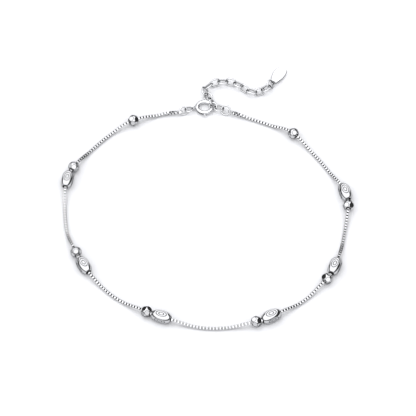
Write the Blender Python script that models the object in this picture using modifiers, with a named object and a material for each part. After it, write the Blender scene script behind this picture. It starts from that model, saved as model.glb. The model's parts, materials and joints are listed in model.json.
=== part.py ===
"""Chain anklet in silver, lying closed on a flat surface.

A box chain carries six pairs of a round and an oval bead and two single round beads.
It closes with a spring-ring clasp. A cable-chain extension with a small oval tag hangs
from the ring that the clasp hooks. Units are metres, +Z is up, the surface is Z = 0.
"""

import math

import bmesh
import bpy
from mathutils import Matrix, Vector

UP = Vector((0, 0, 1))

# Fineness of the shapes
WELD_DISTANCE = 0.0000004
CUT_TOLERANCE = 0.0000001
SHARP_ANGLE = math.radians(35)
ARC_STEP = math.radians(9)
CURVE_STEPS = 24
WALK_STEP = 0.0000125
DIRECTION_REACH = 0.0004
WIRE_SIDES = 6
BOLT_SIDES = 8
TUBE_SIDES = 10
KNOB_SIDES = 12
LINK_CORNERS = 14
RING_CORNERS = 16

# Finishes, as roughness and grey tone, and the cool tint that they share
COOL_TINT = 1.01
FINISHES = {
    "chain_silver": (0.22, 0.90),
    "polished_bead_silver": (0.08, 0.95),
    "engraved_bead_silver": (0.16, 0.93),
    "wire_silver": (0.12, 0.92),
    "clasp_silver": (0.10, 0.94),
    "bolt_silver": (0.14, 0.86),
    "tag_silver": (0.10, 0.95),
}

# Box chain
CHAIN_WIDTH = 0.0008
CHAIN_SIDES = 8
CHAIN_POINTS = 110
CHAIN_DROP_RUN = 0.0065
END_HOLE_WIDTH = 0.00052
END_HOLE_LENGTH = 0.00068
END_HOLE_SHIFT = 0.00004
END_WALL = 0.00016
FLOOR_GAP = 0.00002

# Beads
BEAD_SIDES = 16
BALL_STEPS = 6
BARREL_STEPS = 8
BORE_DIAMETER = 0.00124
BEAD_RIM_WIDTH = 0.0002
ROUND_BEAD_DIAMETER = 0.00285
ROUND_FACET_DEPTH = 0.00019
ROUND_FACETS_PER_ROW = 5
ROUND_FACET_TILT = math.radians(29)
OVAL_BEAD_DIAMETER = 0.0034
OVAL_BEAD_LENGTH = 0.005
OVAL_WINDOW_DEPTH = 0.00034
OVAL_WINDOWS = 4

# Clasp: a sprung bolt in a round tube with a gap, and a standing eye
CLASP_CENTRE = Vector((-0.00065, 0.03615, 0))
CLASP_RADIUS = 0.0019
CLASP_TUBE_DIAMETER = 0.001
CLASP_BORE_DIAMETER = 0.00066
CLASP_GAP_START = math.radians(-25)
CLASP_GAP_END = math.radians(40)
CLASP_POCKET_END = math.radians(56)
BOLT_DIAMETER = 0.00052
BOLT_TIP = math.radians(50)
BOLT_TRAVEL = math.radians(60)
BOLT_TAIL = math.radians(-106)
BOLT_END_ROOM = math.radians(4)
KNOB_ANGLE = math.radians(-88)
KNOB_STEM_DIAMETER = 0.00024
KNOB_DIAMETER = 0.00068
KNOB_LENGTH = 0.00036
KNOB_STANDOFF = 0.0001
SLOT_WIDTH = 0.0004
EYE_DIAMETER = 0.0015
EYE_WIRE = 0.00034
EYE_ANGLE = math.radians(186)
EYE_SINK = 0.00008

# Jump rings, as outer diameter, the headings of their rows, and how far each leans from level
LINK_GAP = 0.0001
RING_WIRE = 0.0004
CLASP_RING_DIAMETER = 0.0024
HOOK_RING_DIAMETER = 0.0024
END_RING_DIAMETER = 0.0028
TAG_RING_DIAMETER = 0.0025
HOOK_RING_OFFSET = 0.0003
HOOK_RING_ANGLE = math.radians(2)
HOOK_RING_HEADING = math.radians(-25)
HOOK_RIM_ANGLE = math.radians(122)
LEFT_RUN_HEADING = math.radians(204)
RIGHT_RUN_HEADING = math.radians(-23)
HOOK_RING_LEAN = math.radians(48)
LEFT_LEANS = (math.radians(15), math.radians(-45))
RIGHT_LEANS = (math.radians(-12), math.radians(45))
TAG_RING_LEAN = math.radians(55)
TAG_RING_HEADING = math.radians(55)

# Extension links: the first ones have leans of their own, the others take turns
LINK_LENGTH = 0.00308
LINK_WIDTH = 0.0024
LINK_WIRE = 0.00042
LINK_COUNT = 12
FIRST_LINK_LEANS = tuple(math.radians(turn) for turn in (50, -45, 46, -43))
LINK_LEANS = (math.radians(67), math.radians(-22))

# Tag
TAG_LENGTH = 0.0073
TAG_WIDTH = 0.0032
TAG_TAPER = 0.42
TAG_THICKNESS = 0.0003
TAG_CORNERS = 32
TAG_HOLE_DIAMETER = 0.00098
TAG_HOLE_INSET = 0.00082
TAG_HEADING = math.radians(64)
TAG_HANG_ANGLE = math.radians(-12)

# Route of the box chain on the surface between its two ends, chosen by eye
CHAIN_ROUTE = [
    (-0.0119, 0.0338), (-0.0192, 0.0311), (-0.0244, 0.0276), (-0.0297, 0.0219),
    (-0.0343, 0.0153), (-0.0359, 0.0109), (-0.0363, 0.0045), (-0.0355, -0.0052),
    (-0.0331, -0.0122), (-0.0311, -0.0166), (-0.0279, -0.0211), (-0.0226, -0.0265),
    (-0.0151, -0.0313), (-0.0112, -0.0330), (-0.0057, -0.0347), (0.0000, -0.0358),
    (0.0058, -0.0356), (0.0125, -0.0344), (0.0163, -0.0326), (0.0236, -0.0277),
    (0.0286, -0.0226), (0.0305, -0.0203), (0.0324, -0.0163), (0.0341, -0.0098),
    (0.0356, -0.0006), (0.0360, 0.0029), (0.0353, 0.0074), (0.0324, 0.0128),
    (0.0277, 0.0202), (0.0221, 0.0269), (0.0172, 0.0298), (0.0115, 0.0323),
]

# Route of the extension, measured from the clasp's rear edge, with how far its links are
# lifted above where the first ones would rest, chosen by eye
EXTENSION_ROUTE = [
    (0.0018, -0.00085, 0.00037), (0.0017, 0.00015, 0.00007), (0.00085, 0.00105, 0.00004),
    (0.00015, 0.00255, 0.00004), (0.00055, 0.00405, 0.0001), (0.00205, 0.00535, 0.00015),
    (0.00435, 0.00605, 0.00015), (0.00675, 0.00595, 0.00015), (0.00885, 0.00505, 0.00015),
    (0.01065, 0.00355, 0.00015), (0.01255, 0.00265, 0.00015), (0.01435, 0.00265, 0.00015),
    (0.01605, 0.00375, 0.00015), (0.01745, 0.00565, 0.00015), (0.01865, 0.00735, 0.00015),
    (0.01955, 0.00905, 0.00015),
]

# Places of the single beads and of the pairs' round beads, as shares of the chain's length,
# and the bare chain between the two beads of a pair, as a share of the round bead's diameter
SINGLE_SHARES = [0.0599, 0.9138]
PAIRS = [
    {"share": 0.1643, "gap": 0.26},
    {"share": 0.2997, "gap": 0.36},
    {"share": 0.4256, "gap": 0.12},
    {"share": 0.5583, "gap": 0.16},
    {"share": 0.6653, "gap": 0.30},
    {"share": 0.7815, "gap": 0.28},
]


def start_scene():
    """Remove what the file holds and make the collections of the parts and the cutters."""
    for obj in list(bpy.data.objects):
        bpy.data.objects.remove(obj, do_unlink=True)
    parts = bpy.data.collections.new("chain_anklet")
    cutters = bpy.data.collections.new("cutters")
    for collection in (parts, cutters):
        bpy.context.scene.collection.children.link(collection)
    return parts, cutters


PARTS, CUTTERS = start_scene()
ROOT = bpy.data.objects.new("anklet_root", None)
PARTS.objects.link(ROOT)


def silver(name):
    """A bright metal with its own name, polish and grey tone."""
    roughness, tone = FINISHES[name]
    material = bpy.data.materials.new(name)
    material.use_nodes = True
    shader = material.node_tree.nodes["Principled BSDF"]
    shader.inputs["Base Color"].default_value = (tone, tone, tone * COOL_TINT, 1)
    shader.inputs["Metallic"].default_value = 1.0
    shader.inputs["Roughness"].default_value = roughness
    return material


SILVERS = {name: silver(name) for name in FINISHES}


def add_piece(name, mesh, finish, matrix=None):
    """Put a mesh in the scene as one named piece."""
    mesh.name = name
    mesh.materials.clear()
    mesh.materials.append(SILVERS[finish])
    mesh.shade_smooth()
    mesh.set_sharp_from_angle(angle=SHARP_ANGLE)
    piece = bpy.data.objects.new(name, mesh)
    piece.matrix_world = matrix or Matrix()
    PARTS.objects.link(piece)
    piece.parent = ROOT


def frame_at(centre, forward, roll=0.0):
    """A matrix whose Z runs forward, whose Y points up and is rolled about Z."""
    z_axis = forward.normalized()
    x_axis = UP.cross(z_axis).normalized()
    y_axis = z_axis.cross(x_axis)
    turn = Matrix((x_axis, y_axis, z_axis)).transposed().to_4x4()
    return Matrix.Translation(centre) @ turn @ Matrix.Rotation(roll, 4, "Z")


def heading(angle):
    """The level direction at an angle from +X."""
    return Vector((math.cos(angle), math.sin(angle), 0))


def welded(mesh):
    """Join the mesh's corners that fall on the same spot, and turn its faces outward."""
    shape = bmesh.new()
    shape.from_mesh(mesh)
    bmesh.ops.remove_doubles(shape, verts=shape.verts, dist=WELD_DISTANCE)
    bmesh.ops.recalc_face_normals(shape, faces=shape.faces)
    shape.to_mesh(mesh)
    shape.free()
    return mesh


def wire_mesh(points, diameter, sides, closed=False):
    """A wire through the points with an even number of sides, as a closed mesh."""
    curve = bpy.data.curves.new("wire", "CURVE")
    curve.dimensions = "3D"
    curve.bevel_depth = diameter / 2
    curve.bevel_resolution = sides // 2 - 2
    curve.use_fill_caps = not closed
    spline = curve.splines.new("POLY")
    spline.points.add(len(points) - 1)
    for spot, point in zip(spline.points, points):
        spot.co = (*point, 1)
    spline.use_cyclic_u = closed
    holder = bpy.data.objects.new("wire", curve)
    CUTTERS.objects.link(holder)
    depsgraph = bpy.context.evaluated_depsgraph_get()
    mesh = bpy.data.meshes.new_from_object(holder.evaluated_get(depsgraph))
    bpy.data.objects.remove(holder)
    return welded(mesh)


def combine(mesh, other, operation):
    """Cut the other mesh from the first, or join it, with an exact Boolean."""
    base = bpy.data.objects.new("base", mesh)
    tool = bpy.data.objects.new("tool", other)
    tool.hide_render = True
    tool.display_type = "WIRE"
    CUTTERS.objects.link(base)
    CUTTERS.objects.link(tool)
    modifier = base.modifiers.new("join_or_cut", "BOOLEAN")
    modifier.operation = operation
    modifier.solver = "EXACT"
    modifier.object = tool
    depsgraph = bpy.context.evaluated_depsgraph_get()
    result = bpy.data.meshes.new_from_object(base.evaluated_get(depsgraph))
    bpy.data.objects.remove(base)
    bpy.data.objects.remove(tool)
    return result


def block_mesh(size, matrix):
    """A box of the given size, placed by a matrix."""
    shape = bmesh.new()
    bmesh.ops.create_cube(shape, size=1, matrix=matrix @ Matrix.Diagonal((*size, 1)))
    mesh = bpy.data.meshes.new("block")
    shape.to_mesh(mesh)
    shape.free()
    return mesh


def rod_mesh(diameter, length, matrix):
    """A round rod along the matrix's Z axis, centred on it."""
    shape = bmesh.new()
    bmesh.ops.create_cone(
        shape, cap_ends=True, segments=KNOB_SIDES, radius1=diameter / 2, radius2=diameter / 2,
        depth=length, matrix=matrix)
    mesh = bpy.data.meshes.new("rod")
    shape.to_mesh(mesh)
    shape.free()
    return mesh


def turned_mesh(profile):
    """A closed profile of (radius, height) turned about Z with the Screw modifier."""
    outline = bpy.data.meshes.new("profile")
    count = len(profile)
    corners = [(radius, 0, height) for radius, height in profile]
    outline.from_pydata(corners, [(i, (i + 1) % count) for i in range(count)], [])
    holder = bpy.data.objects.new("profile", outline)
    CUTTERS.objects.link(holder)
    turn = holder.modifiers.new("turn", "SCREW")
    turn.axis = "Z"
    turn.steps = BEAD_SIDES
    turn.render_steps = BEAD_SIDES
    turn.use_merge_vertices = True
    turn.merge_threshold = WELD_DISTANCE
    depsgraph = bpy.context.evaluated_depsgraph_get()
    mesh = bpy.data.meshes.new_from_object(holder.evaluated_get(depsgraph))
    bpy.data.objects.remove(holder)
    return mesh


def shave_flats(mesh, normals, distance):
    """Cut the mesh flat across each normal at a distance from its middle."""
    shape = bmesh.new()
    shape.from_mesh(mesh)
    for normal in normals:
        cut = bmesh.ops.bisect_plane(
            shape, geom=[*shape.verts, *shape.edges, *shape.faces], dist=CUT_TOLERANCE,
            plane_co=normal * distance, plane_no=normal, clear_outer=True)
        edges = [item for item in cut["geom_cut"] if isinstance(item, bmesh.types.BMEdge)]
        bmesh.ops.edgeloop_fill(shape, edges=edges)
    bmesh.ops.recalc_face_normals(shape, faces=shape.faces)
    shape.to_mesh(mesh)
    shape.free()
    return mesh


def barrel_profile(diameter, length, steps):
    """The profile of a drilled barrel: elliptic outside, flat rims, straight bore."""
    bore = BORE_DIAMETER / 2
    rim = bore + BEAD_RIM_WIDTH
    radius = diameter / 2
    edge = math.acos(rim / radius)
    reach = length / 2 / math.sin(edge)
    outer = []
    for step in range(steps + 1):
        angle = edge * (1 - 2 * step / steps)
        outer.append((radius * math.cos(angle), reach * math.sin(angle)))
    return [(bore, length / 2), *outer, (bore, -length / 2)]


def round_bead_mesh():
    """A drilled ball with two staggered rows of polished flats."""
    mesh = turned_mesh(barrel_profile(ROUND_BEAD_DIAMETER, round_bead_length(), BALL_STEPS))
    normals = []
    for row, side in enumerate((1, -1)):
        for index in range(ROUND_FACETS_PER_ROW):
            turn = 2 * math.pi * (index + row / 2) / ROUND_FACETS_PER_ROW
            level = math.cos(ROUND_FACET_TILT)
            normals.append(Vector((
                level * math.cos(turn), level * math.sin(turn),
                side * math.sin(ROUND_FACET_TILT))))
    return shave_flats(mesh, normals, ROUND_BEAD_DIAMETER / 2 - ROUND_FACET_DEPTH)


def round_bead_length():
    """The length of the ball between its two flat rims."""
    rim = BORE_DIAMETER / 2 + BEAD_RIM_WIDTH
    return 2 * math.sqrt((ROUND_BEAD_DIAMETER / 2) ** 2 - rim ** 2)


def oval_bead_mesh():
    """A drilled barrel with long flat windows round its middle."""
    mesh = turned_mesh(barrel_profile(OVAL_BEAD_DIAMETER, OVAL_BEAD_LENGTH, BARREL_STEPS))
    turns = [2 * math.pi * index / OVAL_WINDOWS for index in range(OVAL_WINDOWS)]
    normals = [heading(turn) for turn in turns]
    return shave_flats(mesh, normals, OVAL_BEAD_DIAMETER / 2 - OVAL_WINDOW_DEPTH)


def resting_height(mesh):
    """How far below its axis a level bead with this mesh reaches."""
    return -min(corner.co.y for corner in mesh.vertices)


def smooth_curve(points):
    """Dense points on a Catmull-Rom curve through the route's points."""
    knots = [Vector(point) for point in points]
    knots = [2 * knots[0] - knots[1], *knots, 2 * knots[-1] - knots[-2]]
    dense = []
    for before, start, end, after in zip(knots, knots[1:], knots[2:], knots[3:]):
        for step in range(CURVE_STEPS):
            t = step / CURVE_STEPS
            dense.append(0.5 * (
                2 * start + (end - before) * t
                + (2 * before - 5 * start + 4 * end - after) * t ** 2
                + (3 * start - before - 3 * end + after) * t ** 3))
    dense.append(knots[-2])
    return dense


class Path:
    """A dense curve that is read by the distance along it."""

    def __init__(self, points):
        self.points = points
        self.marks = [0.0]
        for start, end in zip(points, points[1:]):
            self.marks.append(self.marks[-1] + (end - start).length)
        self.length = self.marks[-1]

    def at(self, distance):
        """The point at a distance along the curve."""
        distance = min(max(distance, 0.0), self.length)
        index = next(
            (i for i, mark in enumerate(self.marks[1:]) if mark >= distance),
            len(self.marks) - 2)
        span = self.marks[index + 1] - self.marks[index]
        share = (distance - self.marks[index]) / span
        return self.points[index].lerp(self.points[index + 1], share)

    def direction(self, distance):
        """The direction of the curve at a distance along it."""
        ahead = self.at(distance + DIRECTION_REACH)
        return (ahead - self.at(distance - DIRECTION_REACH)).normalized()


def ring_points(length, width, wire, corners):
    """The centre line of an oval link that lies in its own YZ plane, long way along Z."""
    bend = (width - wire) / 2
    straight = (length - width) / 2
    points = []
    for index in range(corners):
        angle = 2 * math.pi * (index + 0.5) / corners
        shift = straight if math.sin(angle) > 0 else -straight
        points.append(Vector((0, bend * math.cos(angle), bend * math.sin(angle) + shift)))
    return points


def ring_mesh(length, width, wire, corners):
    """A closed link or ring of bent wire."""
    return wire_mesh(ring_points(length, width, wire, corners), wire, WIRE_SIDES, closed=True)


def leaning_frame(centre, forward, lean):
    """Where a ring or link stands whose plane holds the forward direction and leans from level."""
    return frame_at(centre, forward, lean - math.pi / 2)


def leaning_height(width, wire, lean):
    """The height of a ring's or link's middle when it leans on its edge from level."""
    return (width - wire) / 2 * abs(math.sin(lean)) + wire / 2 + FLOOR_GAP


def rim_point(frame, diameter, angle):
    """A spot on the centre line of the ring in this frame, at an angle from its forward tip."""
    reach = (diameter - RING_WIRE) / 2
    return frame @ Vector((0, reach * math.sin(angle), reach * math.cos(angle)))


def add_ring(name, centre, forward, lean, diameter):
    """A round jump ring, leaning from level."""
    mesh = ring_mesh(diameter, diameter, RING_WIRE, RING_CORNERS)
    add_piece(name, mesh, "wire_silver", leaning_frame(centre, forward, lean))


def linked_step(first, first_wire, second, second_wire):
    """The distance between the middles of two rings of these diameters pulled taut."""
    return (first + second) / 2 - first_wire - second_wire - LINK_GAP


def arc_points(radius, start, end):
    """Points on a level arc about the clasp's middle."""
    steps = math.ceil(abs(end - start) / ARC_STEP)
    return [
        radius * heading(start + (end - start) * step / steps) for step in range(steps + 1)]


def clasp_height():
    """The clasp lies level, held up by its standing eye."""
    return EYE_DIAMETER / 2 + FLOOR_GAP


def eye_radius():
    """The distance of the eye's middle from the clasp's middle."""
    return CLASP_RADIUS + (CLASP_TUBE_DIAMETER + EYE_DIAMETER) / 2 - EYE_SINK


def build_clasp():
    """The clasp's tube with its eye, and the bolt that slides round in it."""
    centre = CLASP_CENTRE + clasp_height() * UP
    clearance = (CLASP_BORE_DIAMETER - BOLT_DIAMETER) / 2

    tube = wire_mesh(
        arc_points(CLASP_RADIUS, CLASP_GAP_END, CLASP_GAP_START + 2 * math.pi),
        CLASP_TUBE_DIAMETER, TUBE_SIDES)
    bore = wire_mesh(
        arc_points(CLASP_RADIUS, CLASP_GAP_START + BOLT_END_ROOM,
                   BOLT_TAIL - BOLT_TRAVEL - BOLT_END_ROOM),
        CLASP_BORE_DIAMETER, BOLT_SIDES)
    pocket = wire_mesh(
        arc_points(CLASP_RADIUS, CLASP_GAP_END - BOLT_END_ROOM, CLASP_POCKET_END),
        CLASP_BORE_DIAMETER, BOLT_SIDES)
    slot_end = (clearance + KNOB_STEM_DIAMETER) / CLASP_RADIUS
    slot = wire_mesh(
        arc_points(CLASP_RADIUS + (CLASP_TUBE_DIAMETER + CLASP_BORE_DIAMETER) / 4,
                   KNOB_ANGLE + slot_end, KNOB_ANGLE - BOLT_TRAVEL - slot_end),
        SLOT_WIDTH, BOLT_SIDES)
    for cutter in (bore, pocket, slot):
        tube = combine(tube, cutter, "DIFFERENCE")

    eye = ring_mesh(EYE_DIAMETER, EYE_DIAMETER, EYE_WIRE, LINK_CORNERS)
    eye.transform(frame_at(eye_radius() * heading(EYE_ANGLE), heading(EYE_ANGLE)))
    tube = combine(tube, eye, "UNION")
    add_piece("clasp_ring", tube, "clasp_silver", Matrix.Translation(centre))

    bolt = wire_mesh(arc_points(CLASP_RADIUS, BOLT_TAIL, BOLT_TIP), BOLT_DIAMETER, BOLT_SIDES)
    outside = CLASP_RADIUS + CLASP_TUBE_DIAMETER / 2 + KNOB_STANDOFF
    stem_length = outside + KNOB_LENGTH / 2 - CLASP_RADIUS
    stem_middle = (CLASP_RADIUS + stem_length / 2) * heading(KNOB_ANGLE)
    stem = rod_mesh(KNOB_STEM_DIAMETER, stem_length, frame_at(stem_middle, heading(KNOB_ANGLE)))
    knob_middle = (outside + KNOB_LENGTH / 2) * heading(KNOB_ANGLE)
    knob = rod_mesh(KNOB_DIAMETER, KNOB_LENGTH, frame_at(knob_middle, heading(KNOB_ANGLE)))
    bolt = combine(bolt, combine(stem, knob, "UNION"), "UNION")
    add_piece("clasp_bolt", bolt, "bolt_silver", Matrix.Translation(centre))


def build_left_rings():
    """Two jump rings from the clasp's eye to the chain. Returns the chain's end hole."""
    forward = heading(LEFT_RUN_HEADING)
    lean_in, lean_out = LEFT_LEANS
    inner = CLASP_CENTRE + eye_radius() * heading(EYE_ANGLE)
    inner += linked_step(EYE_DIAMETER, EYE_WIRE, CLASP_RING_DIAMETER, RING_WIRE) * forward
    outer = inner + forward * linked_step(
        CLASP_RING_DIAMETER, RING_WIRE, CLASP_RING_DIAMETER, RING_WIRE)
    outer.z = leaning_height(CLASP_RING_DIAMETER, RING_WIRE, lean_out)
    inner.z = (clasp_height() + outer.z) / 2
    add_ring("clasp_jump_ring_1", inner, forward, lean_in, CLASP_RING_DIAMETER)
    add_ring("clasp_jump_ring_2", outer, forward, lean_out, CLASP_RING_DIAMETER)
    hole = outer + (CLASP_RING_DIAMETER - RING_WIRE) / 2 * forward
    return hole, forward, lean_out


def build_right_rings():
    """The ring that the clasp hooks and two jump rings to the chain.

    Returns the chain's end hole, and the spot on the hook ring where the extension starts.
    """
    across = heading(HOOK_RING_HEADING)
    hook = CLASP_CENTRE + (CLASP_RADIUS + HOOK_RING_OFFSET) * heading(HOOK_RING_ANGLE)
    hook.z = leaning_height(HOOK_RING_DIAMETER, RING_WIRE, HOOK_RING_LEAN)
    add_ring("hook_ring", hook, across, HOOK_RING_LEAN, HOOK_RING_DIAMETER)

    forward = heading(RIGHT_RUN_HEADING)
    lean_in, lean_out = RIGHT_LEANS
    inner = hook + forward * linked_step(
        HOOK_RING_DIAMETER, RING_WIRE, END_RING_DIAMETER, RING_WIRE)
    outer = inner + forward * linked_step(
        END_RING_DIAMETER, RING_WIRE, END_RING_DIAMETER, RING_WIRE)
    outer.z = leaning_height(END_RING_DIAMETER, RING_WIRE, lean_out)
    inner.z = (hook.z + outer.z) / 2
    add_ring("end_jump_ring_1", inner, forward, lean_in, END_RING_DIAMETER)
    add_ring("end_jump_ring_2", outer, forward, lean_out, END_RING_DIAMETER)
    hole = outer + (END_RING_DIAMETER - RING_WIRE) / 2 * forward

    hook_frame = leaning_frame(hook, across, HOOK_RING_LEAN)
    rim = rim_point(hook_frame, HOOK_RING_DIAMETER, HOOK_RIM_ANGLE)
    return hole, forward, lean_out, rim


def bead_stations(chain_length, round_length):
    """Each bead's name, kind and distance along the chain, from the left end."""
    stations = []
    for share in SINGLE_SHARES:
        stations.append(("round", share * chain_length))
    for pair in PAIRS:
        start = pair["share"] * chain_length
        gap = pair["gap"] * ROUND_BEAD_DIAMETER
        stations.append(("round", start))
        stations.append(("oval", start + (round_length + OVAL_BEAD_LENGTH) / 2 + gap))
    return sorted(stations, key=lambda station: station[1])


def ease(value):
    """A smooth step from 0 to 1."""
    value = min(max(value, 0.0), 1.0)
    return value * value * (3 - 2 * value)


def chain_height(distance, holds, end_heights, chain_length):
    """The height of the chain: on the surface, but lifted in the beads and at its ends."""
    floor = CHAIN_WIDTH / 2 + FLOOR_GAP
    height = floor
    lifted = [(0, 0, end_heights[0]), (chain_length, 0, end_heights[1]), *holds]
    for station, half, top in lifted:
        away = max(abs(distance - station) - half, 0.0)
        height = max(height, floor + (top - floor) * ease(1 - away / CHAIN_DROP_RUN))
    return height


def build_chain_and_beads(left, right):
    """The box chain as one tube with a hole at each end, and the beads strung on it."""
    left_hole, left_forward, left_lean = left
    right_hole, right_forward, right_lean = right
    flat_left = left_hole.copy()
    flat_left.z = 0
    flat_right = right_hole.copy()
    flat_right.z = 0
    route = [flat_left, *[Vector((x, y, 0)) for x, y in CHAIN_ROUTE], flat_right]
    path = Path(smooth_curve(route))

    meshes = {"round": round_bead_mesh(), "oval": oval_bead_mesh()}
    halves = {"round": round_bead_length() / 2, "oval": OVAL_BEAD_LENGTH / 2}
    stations = bead_stations(path.length, round_bead_length())
    holds = [(at, halves[kind], resting_height(meshes[kind])) for kind, at in stations]
    ends = (left_hole.z, right_hole.z)

    overhang = END_HOLE_LENGTH / 2 + END_HOLE_SHIFT + END_WALL
    points = []
    for index in range(CHAIN_POINTS):
        distance = path.length * index / (CHAIN_POINTS - 1)
        point = path.at(distance)
        point.z = chain_height(distance, holds, ends, path.length)
        points.append(point)
    points[0] -= overhang * left_forward
    points[-1] -= overhang * right_forward
    tube = wire_mesh(points, CHAIN_WIDTH, CHAIN_SIDES)
    for hole, forward, lean in (left, right):
        turn = leaning_frame(hole - END_HOLE_SHIFT * forward, forward, lean)
        size = (END_HOLE_WIDTH, 2 * CHAIN_WIDTH, END_HOLE_LENGTH)
        tube = combine(tube, block_mesh(size, turn), "DIFFERENCE")
    add_piece("box_chain", tube, "chain_silver")

    counts = {"round": 0, "oval": 0}
    finishes = {"round": "polished_bead_silver", "oval": "engraved_bead_silver"}
    for kind, at in stations:
        counts[kind] += 1
        ahead, behind = path.at(at + halves[kind]), path.at(at - halves[kind])
        centre = (2 * path.at(at) + ahead + behind) / 4
        centre.z = chain_height(at, holds, ends, path.length) + FLOOR_GAP
        matrix = frame_at(centre, ahead - behind)
        add_piece(f"{kind}_bead_{counts[kind]}", meshes[kind].copy(), finishes[kind], matrix)


def next_link(path, distance, forward, reach):
    """Walk along the path to the middle of the next link, so that both ends interlock."""
    here = path.at(distance)
    onward = distance + WALK_STEP
    while onward < path.length:
        there = path.at(onward)
        chord = (there - here).normalized()
        own_end = here + reach * forward
        next_start = there - reach * path.direction(onward)
        if (own_end - next_start).dot(chord) <= LINK_WIRE + LINK_GAP:
            break
        onward += WALK_STEP
    return onward


def build_extension(rim):
    """The links of the extension, the tag's ring and the tag, in a row along the route."""
    rest = leaning_height(LINK_WIDTH, LINK_WIRE, max(FIRST_LINK_LEANS))
    start = CLASP_CENTRE + (CLASP_RADIUS + CLASP_TUBE_DIAMETER / 2) * heading(math.pi / 2)
    stops = [start + Vector((x, y, rest + lift)) for x, y, lift in EXTENSION_ROUTE]
    path = Path(smooth_curve([rim, *stops]))
    link_reach = (LINK_LENGTH - LINK_WIRE) / 2
    distance = link_reach - (LINK_WIRE + RING_WIRE) / 2 - LINK_GAP
    mesh = ring_mesh(LINK_LENGTH, LINK_WIDTH, LINK_WIRE, LINK_CORNERS)
    for index in range(LINK_COUNT):
        leans = FIRST_LINK_LEANS if index < len(FIRST_LINK_LEANS) else LINK_LEANS
        forward = path.direction(distance)
        matrix = leaning_frame(path.at(distance), forward, leans[index % len(leans)])
        add_piece(f"extension_link_{index + 1}", mesh.copy(), "wire_silver", matrix)
        if index < LINK_COUNT - 1:
            distance = next_link(path, distance, forward, link_reach)

    across = heading(TAG_RING_HEADING)
    inside = link_reach - (LINK_WIRE + RING_WIRE) / 2 - LINK_GAP
    centre = path.at(distance) + inside * forward + (TAG_RING_DIAMETER - RING_WIRE) / 2 * across
    centre.z = leaning_height(TAG_RING_DIAMETER, RING_WIRE, TAG_RING_LEAN)
    add_ring("tag_ring", centre, across, TAG_RING_LEAN, TAG_RING_DIAMETER)
    ring_frame = leaning_frame(centre, across, TAG_RING_LEAN)
    build_tag(rim_point(ring_frame, TAG_RING_DIAMETER, TAG_HANG_ANGLE))


def pear_outline(length, width, taper, corners):
    """Corners of an oval that is wider towards +X; without taper it is a plain ellipse."""
    turns = [2 * math.pi * index / corners for index in range(corners)]
    bulges = [math.sin(turn) * (1 + taper * math.cos(turn)) for turn in turns]
    return [
        (length / 2 * math.cos(turn), width / 2 * bulge / max(bulges))
        for turn, bulge in zip(turns, bulges)]


def build_tag(hole):
    """A thin bare plate with a hole near its narrow end, its far end down on the surface."""
    outline = bpy.data.curves.new("tag_outline", "CURVE")
    outline.dimensions = "2D"
    outline.fill_mode = "BOTH"
    outline.extrude = TAG_THICKNESS / 2
    hole_shift = TAG_LENGTH / 2 - TAG_HOLE_INSET
    plate = pear_outline(TAG_LENGTH, TAG_WIDTH, TAG_TAPER, TAG_CORNERS)
    opening = pear_outline(TAG_HOLE_DIAMETER, TAG_HOLE_DIAMETER, 0, LINK_CORNERS)
    for corners, shift in ((plate, 0), (opening, -hole_shift)):
        spline = outline.splines.new("POLY")
        spline.points.add(len(corners) - 1)
        for spot, corner in zip(spline.points, corners):
            spot.co = (shift + corner[0], corner[1], 0, 1)
        spline.use_cyclic_u = True
    holder = bpy.data.objects.new("tag_outline", outline)
    CUTTERS.objects.link(holder)
    depsgraph = bpy.context.evaluated_depsgraph_get()
    mesh = bpy.data.meshes.new_from_object(holder.evaluated_get(depsgraph))
    bpy.data.objects.remove(holder)

    fall = hole.z - TAG_THICKNESS / 2 - FLOOR_GAP
    drop = math.asin(fall / (TAG_LENGTH - TAG_HOLE_INSET))
    turn = Matrix.Rotation(TAG_HEADING, 4, "Z") @ Matrix.Rotation(drop, 4, "Y")
    middle = hole + turn @ Vector((hole_shift, 0, 0))
    add_piece("tag", welded(mesh), "tag_silver", Matrix.Translation(middle) @ turn)


def stand_on_origin():
    """Move the whole anklet so that the middle of its outline stands over the origin."""
    bpy.context.view_layer.update()
    corners = []
    for piece in PARTS.objects:
        if piece.type == "MESH":
            corners += [piece.matrix_world @ corner.co for corner in piece.data.vertices]
    low = [min(corner[axis] for corner in corners) for axis in range(3)]
    high = [max(corner[axis] for corner in corners) for axis in range(3)]
    ROOT.location = (-(low[0] + high[0]) / 2, -(low[1] + high[1]) / 2, -low[2])
    bpy.context.view_layer.update()


build_clasp()
LEFT_END = build_left_rings()
*RIGHT_END, RIM = build_right_rings()
build_chain_and_beads(LEFT_END, RIGHT_END)
build_extension(RIM)
stand_on_origin()
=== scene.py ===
"""The finished look of a silver chain anklet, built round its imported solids.

Each sub-assembly is a class that builds its own meshes and dresses them. Units are metres,
+Z is up, and the anklet lies on the surface Z = 0. Rings, links and beads take their places
from the solids that they stand for.
"""

import json
import logging
import math
from collections.abc import Callable
from dataclasses import dataclass, field
from enum import Enum

import bmesh
import bpy
import numpy as np
from bmesh.types import BMEdge, BMesh, BMFace, BMVert
from bpy.types import ID, Material, Mesh, Node, NodeOutputs, NodeSocket, NodeTree, Object
from mathutils import Matrix, Vector


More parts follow.
